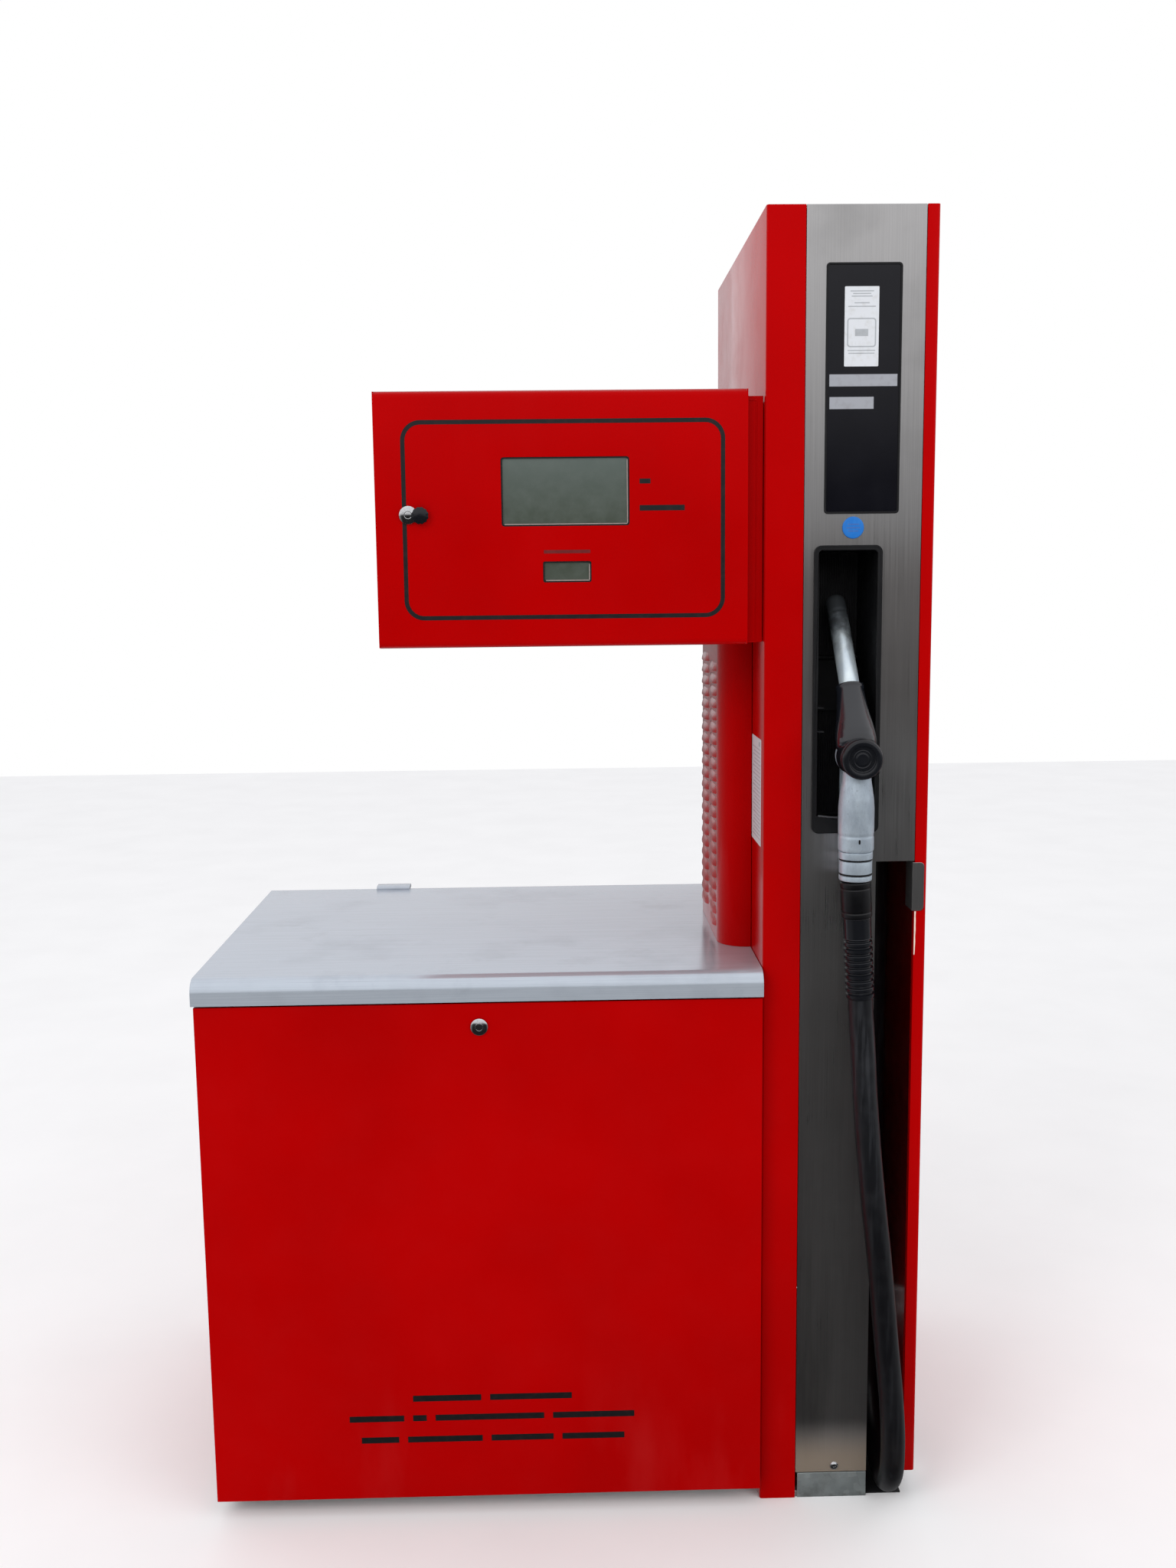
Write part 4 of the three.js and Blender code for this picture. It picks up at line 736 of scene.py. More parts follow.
def gradeLabel():
    # a blank sticker with a rounded frame and grey rules, and pale bars below it
    face, middle = label["face"], label["middle"]
    near, far = face - label["proud"], face + 0.1
    paper = plate(roundedLoop(113.6, 163.4, 1774.5, 1886.5, 1.2, 3), face, 1.0)
    addPiece("grade_sticker", paper, whiteFilm, "housing", sharp=30)
    frameOuter = roundedLoop(117.4, 159.6, 1801.5, 1842.5, 4.5)
    frameInner = roundedLoop(119.2, 157.8, 1803.3, 1840.7, 3.0)
    rules = [ringPlate(frameOuter, frameInner, near, far)]
    widths = {1880: 34, 1876.4: 26, 1872.8: 30, 1863.5: 22, 1858.5: 40, 1797: 40, 1793: 38}
    for z, width in widths.items():
        rules.append(bar(middle - width / 2, middle + width / 2, z - 0.7, z + 0.7, near, far))
    rules.append(bar(129, 148, 1817, 1827, near, far))
    addPiece("grade_sticker_rules", together(*rules), greyFilm, "housing", sharp=30)
    pale = [bar(92.5, 191.6, 1746.5, 1763.5, face, 1.0), bar(93, 157.5, 1714.5, 1731.5, face, 1.0)]
    addPiece("grade_bars", together(*pale), paleFilm, "housing", sharp=30)


gradeLabel()


disc = {"x": 129.9, "z": 1544.4, "radius": 16.0, "rules": {1549: 17, 1544.2: 20, 1539.4: 15}}


def marker():
    # a low blue button with three faint rules
    x, r = disc["x"], disc["radius"]
    profile = softCorners([(0, 1.7), (r - 1.4, 1.7), (r, 0.9), (r, -0.2), (0, -0.2)], 0.5)
    button = turned(profile, (x, 0.0, disc["z"]), (0, -1, 0), 56)
    addPiece("grade_disc", button, blueEnamel, "housing", ["grade_marker"])
    rules = [bar(x - wide / 2, x + wide / 2, z - 1.1, z + 1.1, -1.8, -1.6)
             for z, wide in disc["rules"].items()]
    paleBlue = printedFilm("pale_blue_film", (0.03, 0.12, 0.38), (0.03, 0.16, 0.45))
    addPiece("grade_disc_rules", together(*rules), paleBlue, "housing", sharp=30)


marker()


def screwHead():
    # a socket in a dome, on a flat foot
    dome = [(0, 0.9), (1.9, 0.9), (2.0, 3.2), (4.2, 2.6), (6.2, 1.4), (7, 0.1)]
    profile = dome + [(7, -0.2), (0, -0.2)]
    head = turned(softCorners(profile, 0.4, 3), (120, 0.2, 54.4), (0, -1, 0), 40)
    addPiece("fascia_screw_head", head, lockChrome, "housing", ["fascia_screw"])


screwHead()
refine("hose_guide_plate", fasciaSteel, 0.5)


bareEdge = {"x": 232.0, "z": (898, 966), "width": 1.4}


def wornEdges():
    # bare metal where the hose has rubbed the enamel below the guide, its edge two slow waves
    edgeSteel = printedFilm("bare_edge", (0.78, 0.66, 0.55), (0.4, 0.28, 0.22))
    left, low = bareEdge["x"], bareEdge["z"][0]
    z = np.linspace(*bareEdge["z"], 40)
    wide = 0.2 + 0.7 * np.clip((z - low) / 30, 0, 1) + 0.3 * np.sin(z * 0.31) * np.sin(z * 0.083)
    right = left + bareEdge["width"] + wide
    outline = np.vstack([np.stack([left + 0 * z, z], -1), np.stack([right, z], -1)[::-1]])
    shape = plate(outline, -0.16, 0.2)
    addPiece("bare_edge_line", shape, edgeSteel, "housing", sharp=30)


wornEdges()


def slotFloor():
    # thin plate on the ground inside the hose slot, black as painted shade for the shaded base
    # there
    sheet = bar(171.5, 229.5, 0.2, 2.2, 7.0, 420.0)
    addPiece("slot_floor_painted_shade", sheet, blackPaint, "housing")


slotFloor()


def sideLabel():
    # a pale information sheet with grey rules on the column's left side
    face = {"y": (27, 125), "z": (1064, 1229)}
    sheet = plate(roundedLoop(*face["y"], *face["z"], 2, 3), -0.25, 0.1, "x")
    addPiece("side_sheet", sheet, whiteFilm, "housing", sharp=30)
    rules = []
    for index, z in enumerate(np.linspace(1212, 1074, 24)):
        end = 117 - (index * 37 % 23)
        rules.append(bar(34, end, z - 0.9, z + 0.9, -0.4, -0.2, "x"))
    rules.append(bar(36, 52, 1217, 1224, -0.4, -0.2, "x"))
    addPiece("side_sheet_rules", together(*rules), greyFilm, "housing", sharp=30)


sideLabel()
print("column ready")

# the nozzle boot

bootSize = {"x": (80, 166.5), "back": 139.2, "ledges": (1236, 1273)}
bootSize |= {"ribs": (1100, 1508), "ribPitch": 3.6, "ribWidth": 1.5, "ribProud": 0.8}


bootLip = {"middle": 123.25, "half": 41.25, "z": 1113.05, "sag": 3.4, "y": -3.4, "radius": 1.5}


def bootDetails():
    # fine upright ribs on the back wall, two ledges, and a worn edge on the lip, whose height
    # grows with the square of the way from its middle
    left, right = bootSize["x"]
    centres = np.arange(left + 3, right - 2, bootSize["ribPitch"])
    half = bootSize["ribWidth"] / 2
    back = bootSize["back"]
    ribs = [
        plate(
            [(x - half, back + 0.4), (x - half * 0.5, back - bootSize["ribProud"]),
             (x + half * 0.5, back - bootSize["ribProud"]), (x + half, back + 0.4)],
            *bootSize["ribs"],
            "z",
        )
        for x in centres
    ]
    addPiece("boot_ribs", together(*ribs), blackPlastic, "housing", sharp=30)
    half, middle = bootLip["half"], bootLip["middle"]
    share = np.linspace(-1, 1, 40)
    sag = bootLip["z"] + bootLip["sag"] * share**2
    path = np.stack([middle + half * share, np.full(40, bootLip["y"]), sag], -1)
    bead = swept(path, circleLoop(bootLip["radius"], 12), reference=(0, 0, 1))
    lipEdge = mouldedPlastic("lip_edge", (0.05, 0.05, 0.055), (0.2, 0.2, 0.2), (0.2, 0.35), 0.4)
    addPiece("boot_lip_edge", bead, lipEdge, "housing")
    ledges = [bar(79.4, 103, z - 0.8, z + 0.8, 66, 139.4) for z in bootSize["ledges"]]
    addPiece("boot_ledges", together(*ledges), lipEdge, "housing", bevel=0.4)
    outer = roundedLoop(72.9, 173.6, 1089.4, 1518.6, 10.6)
    inner = roundedLoop(75.6, 170.9, 1092.1, 1515.9, 8)
    rim = ringPlate(outer, inner, -4.35, -3.6)
    addPiece("boot_rim_bead", rim, blackPlastic, "housing", bevel=0.3)


refine("nozzle_boot", blackPlastic, 1.0, segments=3)
refine("boot_switch_flap", blackPlastic, 0.8)
bootDetails()
print("boot ready")

# the nozzle

nozzle = {"x": 131.25, "y": -45.0, "bottom": 1070.0, "valve": 1211.0, "guardWidth": 12.0}
nozzle |= {"grid": 0.0012, "smoothings": 4}


def castBody():
    # handle, valve housing, guard and ears are made apart, fused on a fine grid and smoothed
    x, y, z = nozzle["x"], nozzle["y"], nozzle["bottom"]
    handle = [
        (0, 0), (25.2, 0), (26.5, 2.4), (26.5, 22), (25.7, 23), (25.7, 26), (26.5, 27),
        (26.5, 64), (25.6, 78), (23.6, 92), (21.4, 106), (20.6, 118), (20.6, 135), (0, 135),
    ]
    handleShape = turned(softCorners(handle, 2.0, 4), (x, y, z), sides=72)
    house = [(0, -31), (27.5, -31), (29, -29.5), (29, 20), (26, 27), (19, 31), (0, 31)]
    houseShape = turned(softCorners(house, 3, 4), (x, y, nozzle["valve"]), (0, 1, 0), 72)
    low, high, back = z + 44, z + 156, y + 101
    loop = [
        (x, y + 18, low), (x, back - 16, low), (x, back - 7, low + 5), (x, back - 2, low + 14),
        (x, back, low + 40), (x, back - 1, low + 62), (x, back - 14, low + 90),
        (x, back - 24, high - 4), (x, back - 30, high), (x, y + 20, high),
    ]
    path = smoothPath(softCorners(loop, 5, 3), 90)
    half = nozzle["guardWidth"] / 2
    section = softCorners([(-half, -3), (half, -3), (half, 3), (-half, 3)], 1.8, 4, closed=True)
    guard = swept(path, section)
    side = [(y + 16, high - 22), (y + 45, high - 12), (y + 45, high + 1), (y + 16, high + 3)]
    saddle = plate(softCorners(side, 4, 4, closed=True), x - 10, x + 10, "x")
    parts = [handleShape, houseShape, guard, saddle]
    for ear in (-1, 1):
        inner, outer = (x + ear * 7.3, x + ear * 10.3)
        loopEar = roundedLoop(y + 24, y + 45, z + 134, high - 1, 3.5, 4)
        parts.append(plate(loopEar, min(inner, outer), max(inner, outer), "x"))
        inner, outer = (x + ear * 4.3, x + ear * 6.3)
        loopEar = roundedLoop(y + 81, y + 89, low, z + 57, 3, 4)
        parts.append(plate(loopEar, min(inner, outer), max(inner, outer), "x"))
    slot, replaced = "cast_aluminium", ["nozzle_body"]
    made = addPiece("nozzle_casting", together(*parts), aluminium, "nozzle", replaced)
    fuse = made.modifiers.new("fuse", "REMESH")
    fuse.mode = "VOXEL"
    fuse.voxel_size = nozzle["grid"]
    fuse.use_smooth_shade = True
    ease = made.modifiers.new("ease", "SMOOTH")
    ease.factor = 0.5
    ease.iterations = nozzle["smoothings"]
    pins = together(
        turned([(0, -10.6), (2.2, -10.6), (2.4, -10.2), (2.4, 10.2), (2.2, 10.6), (0, 10.6)],
               (x, y + 41, z + 139), (1, 0, 0), 24),
        turned([(0, -6.8), (1.6, -6.8), (1.8, -6.5), (1.8, 6.5), (1.6, 6.8), (0, 6.8)],
               (x, y + 85, z + 53), (1, 0, 0), 24),
    )
    addPiece("nozzle_pins", pins, zinc, "nozzle")
    slotLoop = roundedLoop(x - 1.4, x + 1.4, 1084, 1090.5, 1.2, 4)
    addPiece("handle_slot", plate(slotLoop, -71.7, -70.5), blackPlastic, "nozzle")


castBody()

spoutPath = [
    (131.25, -32, 1252), (130.25, -14, 1281), (129.25, 5, 1310),
    (127.25, 38, 1356), (125.75, 72, 1401), (124.75, 104, 1437),
]


spoutSize = {"radius": 15.0, "bore": 12.2, "groove": 14.2, "grooveAt": 0.865, "tipFrom": 0.972}
spoutSize |= {"tipEase": 1.6, "rings": 110, "boreRings": 26, "sides": 40}


def spout():
    # a tube bent on the path with a groove near its end: the tip's radius falls with the square
    # of the way along it, and a bore goes back into the tip
    rings, boreRings, sides = (spoutSize[key] for key in ("rings", "boreRings", "sides"))
    path = smoothPath(spoutPath, rings)
    share = np.linspace(0, 1, rings)
    along = np.clip((share - spoutSize["tipFrom"]) / (1 - spoutSize["tipFrom"]), 0, 1)
    radius = spoutSize["radius"] - spoutSize["tipEase"] * along**2
    radius[np.abs(share - spoutSize["grooveAt"]) < 0.008] = spoutSize["groove"]
    circle = circleLoop(1.0, sides)
    outer = swept(path, circle, radius, capped=False)[0].reshape(rings, sides, 3)
    narrow = np.full(boreRings, spoutSize["bore"])
    bore = swept(path[::-1][:boreRings], circle[::-1], narrow, capped=False)[0]
    bore = np.flip(bore.reshape(boreRings, sides, 3), 1)
    # the bore's rings are turned until they start beside the first point of the outer ones
    start = np.argmin(np.linalg.norm(bore[0] - outer[-1][0], axis=1))
    bore = np.roll(bore, -start, axis=1)
    gap = np.linalg.norm(bore[0] - outer[-1][1], axis=1)
    if gap[1] > gap[-1]:
        bore = np.roll(bore[:, ::-1], 1, axis=1)
    points = np.vstack([outer, bore]).reshape(-1, 3)
    end = (rings + boreRings) * sides
    faces = gridFaces(rings + boreRings, sides)
    faces += [list(range(sides)), list(range(end - sides, end))]
    slot, replaced = "cast_aluminium", ["nozzle_spout"]
    addPiece("spout_tube", (points, faces), spoutFinish, "nozzle", replaced, 50)


spout()


cone = {
    "foot": (131.25, -41, 1223.0),
    "top": (129.25, 5, 1310.0),
    "share": (0.0, 0.02, 0.1, 0.22, 0.36, 0.5, 0.64, 0.78, 0.9, 0.955, 0.965, 1.0),
    "radius": (27.5, 29.4, 30.2, 29.6, 27.6, 25.2, 23.2, 21.7, 20.6, 20.3, 21.4, 20.9),
    "mouth": 15.4,
    "skirt": ((0, -30.8), (29.3, -30.8), (29.9, -29.6), (29.9, 6), (29.3, 8), (0, 8)),
}


def scuffCover():
    # a moulded cone along the spout's root, swollen at its foot and lipped at its mouth, with a
    # skirt round the valve housing
    foot, top, mouth = np.array(cone["foot"]), np.array(cone["top"]), cone["mouth"]
    fine = np.linspace(0, 1, 60)
    radius = np.interp(fine, cone["share"], cone["radius"])
    length = np.linalg.norm(top - foot)
    profile = np.stack([radius, fine * length], -1)
    inside = [[mouth, length], [mouth, length - 6], [0, length - 6]]
    shape = turned(np.vstack([[0, 0], profile, inside]), foot, top - foot, 64)
    centre = (nozzle["x"], nozzle["y"], nozzle["valve"])
    skirt = turned(softCorners(cone["skirt"], 1.2, 3), centre, (0, 1, 0), 72)
    whole, replaced = together(shape, skirt), ["nozzle_scuff_cover"]
    addPiece("spout_cover", whole, coneRubber, "nozzle", replaced, 50)


scuffCover()


studs = {"count": 18, "ring": 15.7, "face": -84.9}


def valveCap():
    # rings and steps on a round cap, with a ring of small studs
    rise = [
        (0, 9.7), (8.2, 10.1), (9.4, 9.6), (10.0, 8.5), (12.2, 8.6), (12.8, 9.2), (13.6, 8.6),
        (17.8, 8.7), (19.0, 9.0), (20.2, 11.8), (22, 12.4), (25, 12.7), (28, 11.4), (29.6, 9.2),
        (30, 7.6), (30, 3.2), (28.5, 0.2), (0, 0.2),
    ]
    cap = turned(softCorners(rise, 0.8, 4), (nozzle["x"], -76.2, nozzle["valve"]), (0, -1, 0), 88)
    knobs = []
    stud = [(0, 0.55), (0.8, 0.4), (1.1, 0), (1.1, -0.3), (0, -0.3)]
    for across, up in circleLoop(studs["ring"], studs["count"]):
        at = (nozzle["x"] + across, studs["face"], nozzle["valve"] + up)
        knobs.append(turned(stud, at, (0, -1, 0), 8))
    whole = together(cap, *knobs)
    addPiece("valve_cap", whole, coverRubber, "nozzle", ["nozzle_valve_cap"], 40)


valveCap()


def swivel():
    x, y, top = nozzle["x"], nozzle["y"], nozzle["bottom"] - 0.3
    profile = [
        (0, -43.4), (23.5, -43.4), (24.5, -41.8), (24.5, -36), (23, -35.5), (23, -32.5),
        (24.5, -32), (24.5, -14), (23, -13.5), (23, -11), (25.2, -10.5), (25.2, -0.8),
        (24.6, 0), (0, 0),
    ]
    collar = turned(softCorners(profile, 0.5, 3), (x, y, top), sides=72)
    addPiece("swivel_collar", collar, aluminium, "nozzle", ["nozzle_swivel"])
    rings = []
    for level, half in ((-34, 1.5), (-12.2, 1.3)):
        ring = [(22.6, level - half), (24.1, level - half * 0.6), (24.1, level + half * 0.6),
                (22.6, level + half), (22.6, level - half)]
        rings.append(turned(ring, (x, y, top), sides=64))
    addPiece("swivel_seals", together(*rings), blackPlastic, "nozzle")
    # small wire loop at the right of the valve housing: a round section carried round an ellipse
    loop = {"centre": (157.5, -52.0, 1189.0), "wide": 4.6, "tall": 6.2, "wire": 1.7, "steps": 39}
    ring = circleLoop(1.0, loop["steps"]) * (loop["wide"], loop["tall"])
    path = onPlane(ring, 0, "y") + loop["centre"]
    tangent = np.roll(path, -1, 0) - np.roll(path, 1, 0)
    tangent /= np.linalg.norm(tangent, axis=1, keepdims=True)
    depth = np.array([0, 1.0, 0])
    across = np.cross(tangent, depth)
    section = circleLoop(loop["wire"], 12)
    points = path[:, None] + section[None, :, :1] * across[:, None] + section[None, :, 1:] * depth
    shape = points.reshape(-1, 3), gridFaces(loop["steps"], 12, wrapRows=True)
    addPiece("valve_ring", shape, blackPlastic, "nozzle")


swivel()


restrictor = {"ribs": 9, "pitch": 10.0, "top": 54.3, "bottom": 179.3, "radius": 20.5}


def hoseEnd():
    # sleeve and bend restrictor, both turned about the hose's leaning line: the restrictor's ribs
    # follow a clipped sine along it
    origin = np.array([131.25, -45, 1024.4])
    sleeve = [(0, 0), (21.6, 0), (23, 1.6), (23, 8), (22.3, 8.8), (22.3, 10.4), (23, 11.2),
              (23, 44), (22.2, 44.8), (22.2, 46.6), (23, 47.4), (23, 53.2), (22.5, 54), (0, 54)]
    shape = turned(softCorners(sleeve, 0.5, 3), origin, leanAxis, 64)
    addPiece("sleeve", shape, sleeveRubber, "hose_end", ["hose_sleeve"])
    ribs, pitch, top, bottom, plain = restrictor.values()
    along = np.linspace(top, bottom, 260)
    fromFoot = bottom - 3 - along
    inRibs = (fromFoot > -1) & (fromFoot < ribs * pitch)
    wave = np.clip(3.4 * np.sin(2 * math.pi * (fromFoot / pitch) + 0.4) + 0.7, -2.1, 1.0)
    flare = plain + 0.3 + 0.4 * np.clip((top + 20 - along) / 20, 0, 1)
    body = np.stack([np.where(inRibs, plain + wave, flare), along], -1)[2:-2]
    foot = [[19.9, bottom], [19.2, bottom], [19.2, bottom - 8], [0, bottom - 8]]
    profile = np.vstack([[0, top], [19.8, top], body, foot])
    shape, replaced = turned(profile, origin, leanAxis, 60), ["hose_bend_restrictor"]
    addPiece("bend_restrictor", shape, coverRubber, "hose_end", replaced, 60)


hoseEnd()
refine("nozzle_trigger", blackPlastic, 1.3, segments=3)
refine("nozzle_hold_latch", zinc, 0.9, segments=3)
print("nozzle ready")

# the model's own parts: names, finish, eased edge in mm, angle that stays sharp, bevel steps
innerParts = [
    ("hose_sheave sheave_axle delivery_pipe suction_pipe head_mount_plate", zinc, 0.8, 50, 2),
    ("hose_outlet_fitting", aluminium, 0.8, 50, 2),
    ("cable_conduit", blackPlastic, 0, 60, 2),
    ("cabinet_front_panel cabinet_rear_panel cabinet_left_panel", red, 0.8, 35, 3),
    ("cabinet_top", topSteel, 0.5, 30, 2),
    ("cabinet_rail_front cabinet_rail_rear cabinet_base meter_coupling", zinc, 0.6, 35, 2),
    ("motor_pulley pump_pulley", castIron, 1.0, 40, 2),
    ("pump_unit", machineGrey, 3.0, 40, 3),
    ("pump_motor", machineGrey, 1.6, 40, 2),
    ("flow_meter", aluminium, 2.0, 40, 3),
    ("solenoid_valve", aluminium, 1.5, 40, 2),
    ("meter_pulser", blackPlastic, 1.5, 40, 2),
    ("drive_belt", hoseSkin, 0.8, 50, 2),
    ("junction_box calculator_box display_module", boxPlastic, 2.0, 40, 3),
]
for names, finish, ease, sharp, steps in innerParts:
    for nodeName in names.split():
        refine(nodeName, finish, ease, sharp, steps)

lockSize = {"radius": 11.2, "rise": 4.75, "keyTall": 3.2, "keyWide": 0.8}


def lockHead(name, x, z, face, outward, body):
    # a domed collar with a keyed plug set into it, and its barrel behind
    radius, rise = lockSize["radius"], lockSize["rise"]
    profile = np.array([
        (0, rise - 1.0), (4.6, rise - 1.0), (5.0, rise + 0.2), (6.4, rise + 0.2), (7.0, rise - 1.2),
        (8.2, rise - 0.8), (radius - 1.8, rise - 0.2), (radius, rise - 2.6), (radius, 0.1),
        (9, 0.1), (9, -9), (0, -9),
    ])
    profile[:, 1] = np.minimum(profile[:, 1], rise)
    head = turned(softCorners(profile, 0.5, 4), (x, face, z), (0, outward, 0), 56)
    addPiece(name, head, lockChrome, body)
    wide, tall = lockSize["keyWide"], lockSize["keyTall"]
    key = plate(roundedLoop(x - wide, x + wide, z - tall, z + tall, 0.7, 3),
                face + outward * (rise - 0.8), face + outward * (rise - 2))
    addPiece(name + "_keyway", key, blackPlastic, body, sharp=30)


# each lock: x, z, the face it stands on, the way it points, its body
lockPlaces = {
    "cabinet_front_lock": (-434, 802.4, -20, -1, "cabinet_front_quarter_lock"),
    "cabinet_rear_lock": (-434, 802.4, 640, 1, "cabinet_rear_quarter_lock"),
    "head_front_lock": (-522, 1568.8, 0, -1, "display_door_lock"),
    "head_rear_lock": (-522, 1568.8, 620, 1, "service_door_lock"),
}
for lockName, where in lockPlaces.items():
    refine(lockName, lockChrome, 0.4)
    lockHead(lockName + "_plug", *where)


flap = {"centre": (-504.3, 1567.8), "radius": 12.6, "flutes": 12, "fluteDepth": 0.9, "face": 9.0}


def dustCap():
    # flat flutes round a black cap, their depth a cosine of the turn, and the ear it swings on
    turn = np.linspace(0, 2 * math.pi, 72, endpoint=False)
    flute = flap["radius"] - flap["fluteDepth"] * (0.5 + 0.5 * np.cos(flap["flutes"] * turn))
    circle = circleLoop(1.0, 72)
    loop = flap["centre"] + flute[:, None] * circle
    inner = flap["centre"] + flap["face"] * circle
    rows = [onPlane(loop, -4.95, "y"), onPlane(loop, -8.0, "y"), onPlane(inner, -9.6, "y")]
    points = np.vstack(rows)
    faces = gridFaces(3, 72) + [list(range(72)), list(range(144, 216))]
    addPiece("dust_cap_cover", (points, faces), coverRubber, "dust_cap",
             ["head_lock_dust_cap"], 30)
    ear = turned(softCorners([(0, 8.1), (3.6, 8.1), (4.5, 7.2), (4.5, 4.95), (0, 4.95)], 0.5),
                 (-513.15, 0, 1567.8), (0, -1, 0), 32)
    addPiece("dust_cap_ear", ear, coverRubber, "dust_cap")


dustCap()


# each row of the notice by its height: middle, width and the shares of its bars
notice = {
    199: (-426, 250, (5, 6)),
    166: (-427, 449, (4, 1, 8, 6)),
    130: (-426, 415, (3, 6, 5, 5)),
}


def cabinetMarks():
    # three rows of plain dark bars stand in for the notice low on the front panel
    bars = []
    for z, (centre, width, words) in notice.items():
        letter = (width - 14 * (len(words) - 1)) / sum(words)
        at = centre - width / 2
        for word in words:
            bars.append(bar(at, at + word * letter, z - 5.0, z + 5.0, -20.18, -19.95))
            at += word * letter + 14
    addPiece("notice_bars", together(*bars), blackFilm, "cabinet_front", sharp=30)


cabinetMarks()


def topDetails():
    # a folded clip on the rear edge
    side = [(618, 880.5), (646, 880.5), (648, 883), (646, 887.5), (621, 887.5), (617, 884)]
    clip = plate(softCorners(side, 2, 3, closed=True), -663, -599, "x")
    addPiece("rear_clip", clip, topSteel, "housing", bevel=0.4)


topDetails()
print("cabinet ready")

# the louvred post

post = {"face": -51.4, "front": 127.0, "back": 435.0, "corner": 45.0, "foot": 882.3, "top": 1376.7}
louvre = {"rows": 22, "pitch": 20.0, "width": 82.0, "rise": 5.4, "tall": 13.0, "first": 904.7}


def postShell():
    # half a rounded tube, open to the column, in a 2 mm sheet
    turn = np.linspace(0, math.pi / 2, 14)
    r, face, front, back = post["corner"], post["face"], post["front"], post["back"]

    def line(inset):
        arc = r - inset
        first = np.stack([face + r - arc * np.sin(turn), front + r - arc * np.cos(turn)], -1)
        second = np.stack([face + r - arc * np.cos(turn), back - r + arc * np.sin(turn)], -1)
        ends = [[-1.0, front + inset]], [[-1.0, back - inset]]
        return np.vstack([ends[0], first, second, ends[1]])

    loop = np.vstack([line(0), line(2)[::-1]])
    return plate(loop, post["foot"], post["top"], "z")


def louvreHood(y, z):
    # a bulge that leaves the sheet at its top and sides and opens downwards: rise follows the
    # sine across its width and grows towards the mouth
    u, v = np.meshgrid(np.linspace(0, 1, 9), np.linspace(0, 1, 5), indexing="ij")
    across = np.clip(np.sin(math.pi * u), 0, 1) ** 0.35
    rise = louvre["rise"] * across * np.sin(0.5 * math.pi * v) ** 0.9
    along, up = y + louvre["width"] * u, z + louvre["tall"] * (1 - v)
    front = np.stack([post["face"] - rise, along, up], -1)
    rear = np.stack([post["face"] + 0.9 + 0 * u, along, up], -1)
    points = np.vstack([front.reshape(-1, 3), rear.reshape(-1, 3)])
    faces = gridFaces(9, 5, wrapColumns=False)
    faces += [[45 + index for index in face[::-1]] for face in gridFaces(9, 5, wrapColumns=False)]
    rim = [i * 5 for i in range(9)] + [40 + j for j in range(1, 5)]
    rim += [i * 5 + 4 for i in range(7, -1, -1)] + [j for j in range(3, 0, -1)]
    faces += [[rim[k], rim[(k + 1) % len(rim)], 45 + rim[(k + 1) % len(rim)], 45 + rim[k]]
              for k in range(len(rim))]
    return points, faces


def louvredPost():
    hoods = [
        louvreHood(y, louvre["first"] + row * louvre["pitch"] + shift)
        for y, shift in ((180.0, 0.0), (300.0, 10.0))
        for row in range(louvre["rows"])
    ]
    addPiece("post_shell", postShell(), red, "housing", ["louvred_post"], 30)
    addPiece("post_louvres", together(*hoods), red, "housing", sharp=50)


louvredPost()

# the head

for nodeName in ("head_housing", "head_front_door", "head_rear_door"):
    refine(nodeName, red, 0.7, 30, 3)


def displayWindows():
    # each window is a pane in a thin dark seal, with a painted highlight, two pale film bars, for
    # the lit bevel at its lower right
    windows = {
        "main": ((-386, -199), (1551.2, 1650.2), 4.0, "main_display_lens"),
        "price": ((-326.5, -255.5), (1469.5, 1500.0), 3.0, "price_display_lens"),
    }
    paintedHighlightFilm = printedFilm("painted_highlight_edge", (0.3, 0.25, 0.23), (0.2, 0.12, 0.11))
    for name, (x, z, radius, replaced) in windows.items():
        pane = plate(roundedLoop(x[0] - 6, x[1] + 6, z[0] - 6, z[1] + 6, radius), 2.3, 4.9)
        body, slot = "display_door", "display_glass"
        addPiece(name + "_pane", pane, glassDisplay, body, [replaced], bevel=0.3)
        seal = ringPlate(
            roundedLoop(x[0] + 0.1, x[1] - 0.1, z[0] + 0.1, z[1] - 0.1, radius),
            roundedLoop(x[0] + 1.9, x[1] - 1.9, z[0] + 1.9, z[1] - 1.9, max(radius - 1.4, 1)),
            0.3,
            2.25,
        )
        addPiece(name + "_seal", seal, blackPlastic, body, sharp=30)
        # painted highlight: pale bars along the lower and right edges stand for the lit bevel
        edge = together(
            bar(x[0] + 4, x[1] - 2.6, z[0] + 1.9, z[0] + 3.6, 1.4, 2.25),
            bar(x[1] - 3.6, x[1] - 1.9, z[0] + 3.6, z[1] - 4, 1.4, 2.25),
        )
        addPiece(name + "_edge", edge, paintedHighlightFilm, body, sharp=30)


displayWindows()


trim = {"x": (-23.6, -1.2), "z": (1378, 1736), "sides": {"front": (15, 17), "rear": (603, 605)}}


def headTrim():
    # red strips that close the gap between the door's edge, the sleeve and the column
    for side, levels in trim["sides"].items():
        strip = bar(*trim["x"], *trim["z"], *levels)
        addPiece("head_trim_" + side, strip, red, "housing", bevel=0.5)


headTrim()


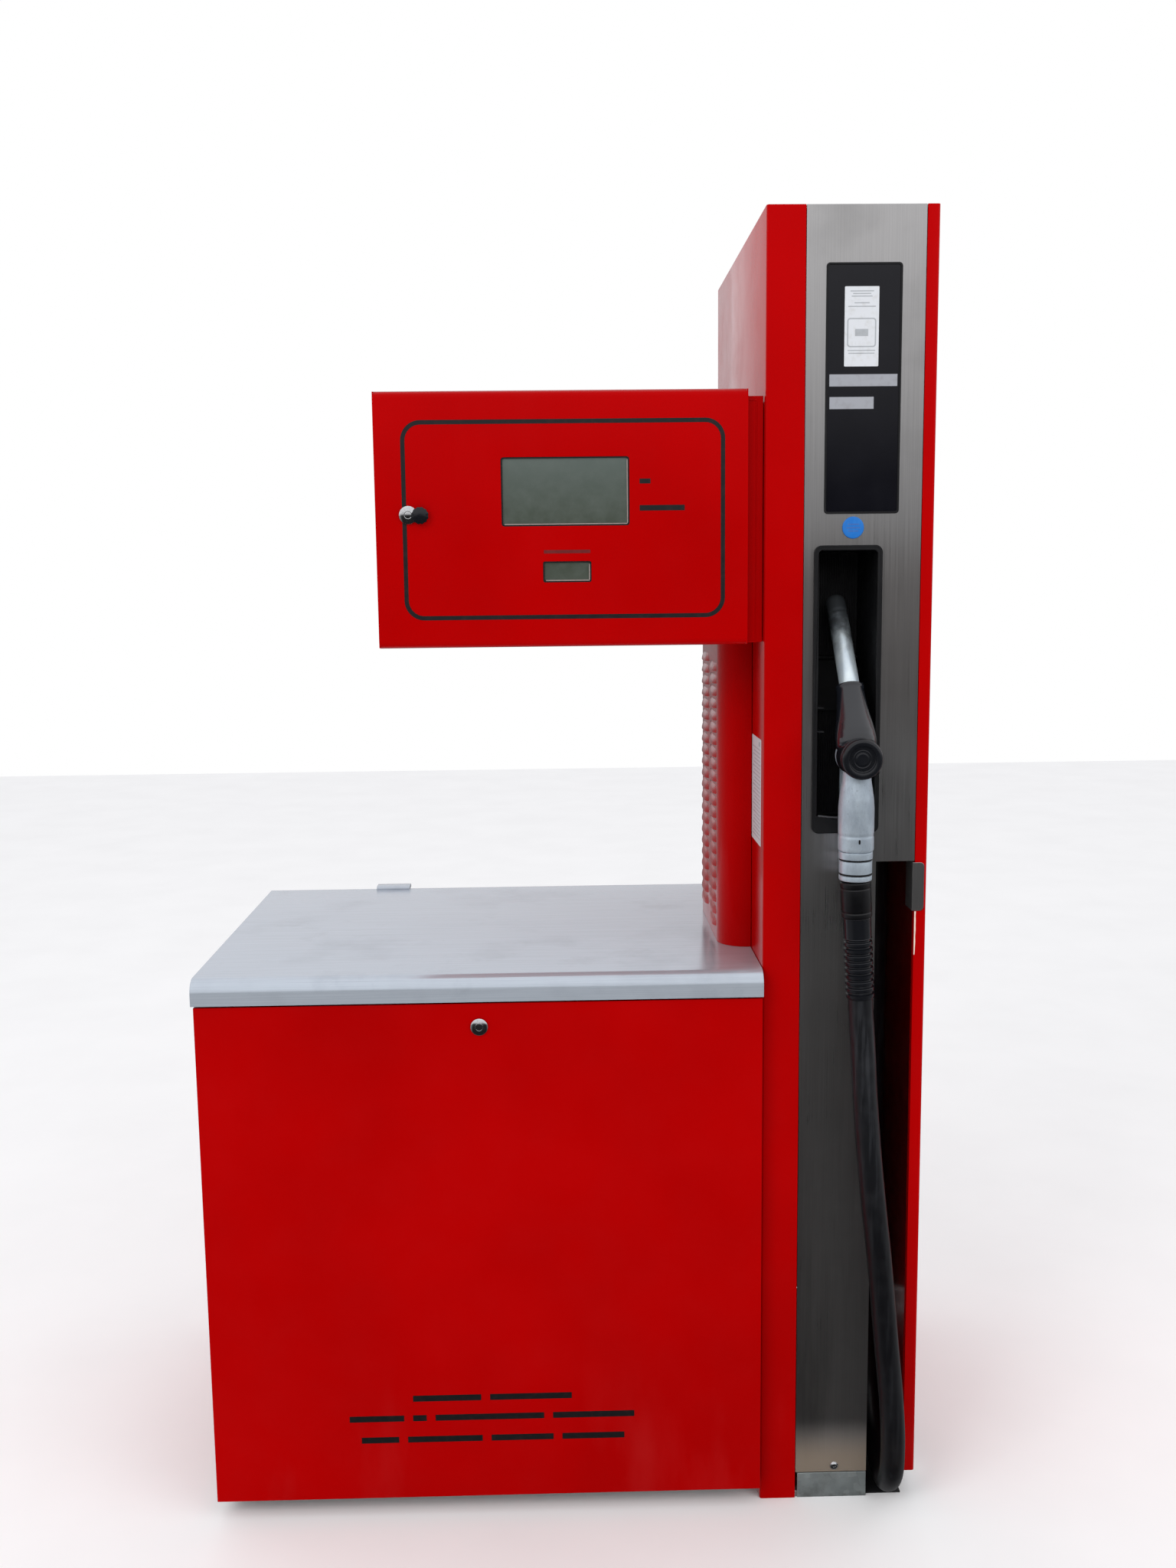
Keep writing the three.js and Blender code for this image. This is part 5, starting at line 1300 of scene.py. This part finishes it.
def headMarks():
    # the black frame line round the windows, and plain bars where the units are printed
    outer = roundedLoop(-530.8, -58.8, 1416, 1704, 29, 12)
    inner = roundedLoop(-524.5, -65.1, 1422.3, 1697.7, 22.7, 12)
    line = ringPlate(outer, inner, -0.22, 0.1)
    addPiece("head_line", line, blackFilm, "display_door", sharp=30)
    bars = [
        bar(-184, -168, 1611, 1618, -0.18, 0.1),
        bar(-184, -118, 1572, 1580, -0.18, 0.1),
    ]
    addPiece("head_unit_bars", together(*bars), blackFilm, "display_door", sharp=30)
    faint = printedFilm("faint_film", (0.13, 0.004, 0.005), (0.2, 0.01, 0.01))
    small = bar(-325, -257, 1511.5, 1516.5, -0.16, 0.1)
    addPiece("head_small_bar", small, faint, "display_door", sharp=30)


headMarks()
print("head ready")

# floor, light and surroundings

stageSetup = {"floor": 9.0, "keyPower": 90.0, "fillPower": 40.0, "sky": 0.92}


def makeFloor():
    points = np.array([(-1, -1, 0), (1, -1, 0), (1, 1, 0), (-1, 1, 0)]) * stageSetup["floor"]
    mesh = bpy.data.meshes.new("floor")
    mesh.from_pydata(points.tolist(), [], [(0, 1, 2, 3)])
    material, tree, shader = newMaterial("pale_floor", {"Roughness": 0.9})
    patches = span(tree, cloud(tree, 3, 4.0), 0.3, 0.7)
    shade = blendColour(tree, patches, (0.93, 0.93, 0.93), (0.96, 0.96, 0.96))
    link(tree, shade, shader, "Base Color")
    mesh.materials.append(material)
    floor = bpy.data.objects.new("floor", mesh)
    scene.collection.objects.link(floor)
    floor.visible_glossy = False


def areaLight(name, power, size, place, target):
    data = bpy.data.lights.new(name, "AREA")
    data.energy = power
    data.size = size
    lamp = bpy.data.objects.new(name, data)
    scene.collection.objects.link(lamp)
    lamp.location = place
    lamp.rotation_euler = (Vector(target) - Vector(place)).to_track_quat("-Z", "Y").to_euler()
    lamp.visible_glossy = False


# brightness from straight down, at nought, to straight up, at one
ground = [(0.0, 0.016), (0.47, 0.018), (0.505, 0.03), (0.53, 0.1)]
skyStops = {
    "front": ground + [(0.562, 0.5), (0.62, 0.74), (1.0, 0.95)],
    "rear": [(0.0, 0.2), (0.49, 0.3), (0.52, 0.72), (0.62, 0.85), (1.0, 1.0)],
}


def makeSurroundings():
    # white to the camera; reflections see a dark ground and trees in front, open sky above,
    # behind and to the left
    world = bpy.data.worlds.new("surroundings")
    world.use_nodes = True
    scene.world = world
    tree = world.node_tree
    background = tree.nodes["Background"]
    direction = addNode(tree, "TexCoord").outputs["Generated"]
    parts = addNode(tree, "SeparateXYZ", {0: direction})
    rise = parts.outputs["Z"]
    front = addNode(tree, "ValToRGB", {"Fac": span(tree, rise, -1, 1)})
    setStops(front.color_ramp, skyStops["front"])
    rear = addNode(tree, "ValToRGB", {"Fac": span(tree, rise, -1, 1)})
    setStops(rear.color_ramp, skyStops["rear"])
    behind = span(tree, parts.outputs["Y"], -0.35, 0.25, 0, 1, True)
    leftward = span(tree, parts.outputs["X"], -0.55, -0.95, 0, 0.85, True)
    rightward = span(tree, parts.outputs["X"], 0.6, 0.95, 0, 0.6, True)
    around = sums(tree, "MAXIMUM", behind, sums(tree, "MAXIMUM", leftward, rightward))
    reflected = blendColour(tree, around, front.outputs["Color"], rear.outputs["Color"])
    light = addNode(tree, "LightPath")
    sky = stageSetup["sky"]
    soft = blendColour(tree, light.outputs["Is Glossy Ray"], (sky, sky, sky * 1.02), reflected)
    seen = blendColour(tree, light.outputs["Is Camera Ray"], soft, (1.0, 1.0, 1.0))
    tree.links.new(seen, background.inputs["Color"])


def setStops(ramp, stops):
    while len(ramp.elements) < len(stops):
        ramp.elements.new(0.5)
    for element, (position, level) in zip(ramp.elements, stops):
        element.position = position
        element.color = (level, level, level * 1.03, 1)


makeFloor()
areaLight("key", stageSetup["keyPower"], 2.5, (-3.2, -4.2, 4.2), (0, 0, 1.0))
areaLight("fill", stageSetup["fillPower"], 3.0, (3.6, -3.4, 2.6), (0, 0, 0.9))
makeSurroundings()
print("pieces made", pieceCount["made"], "refined", pieceCount["refined"])
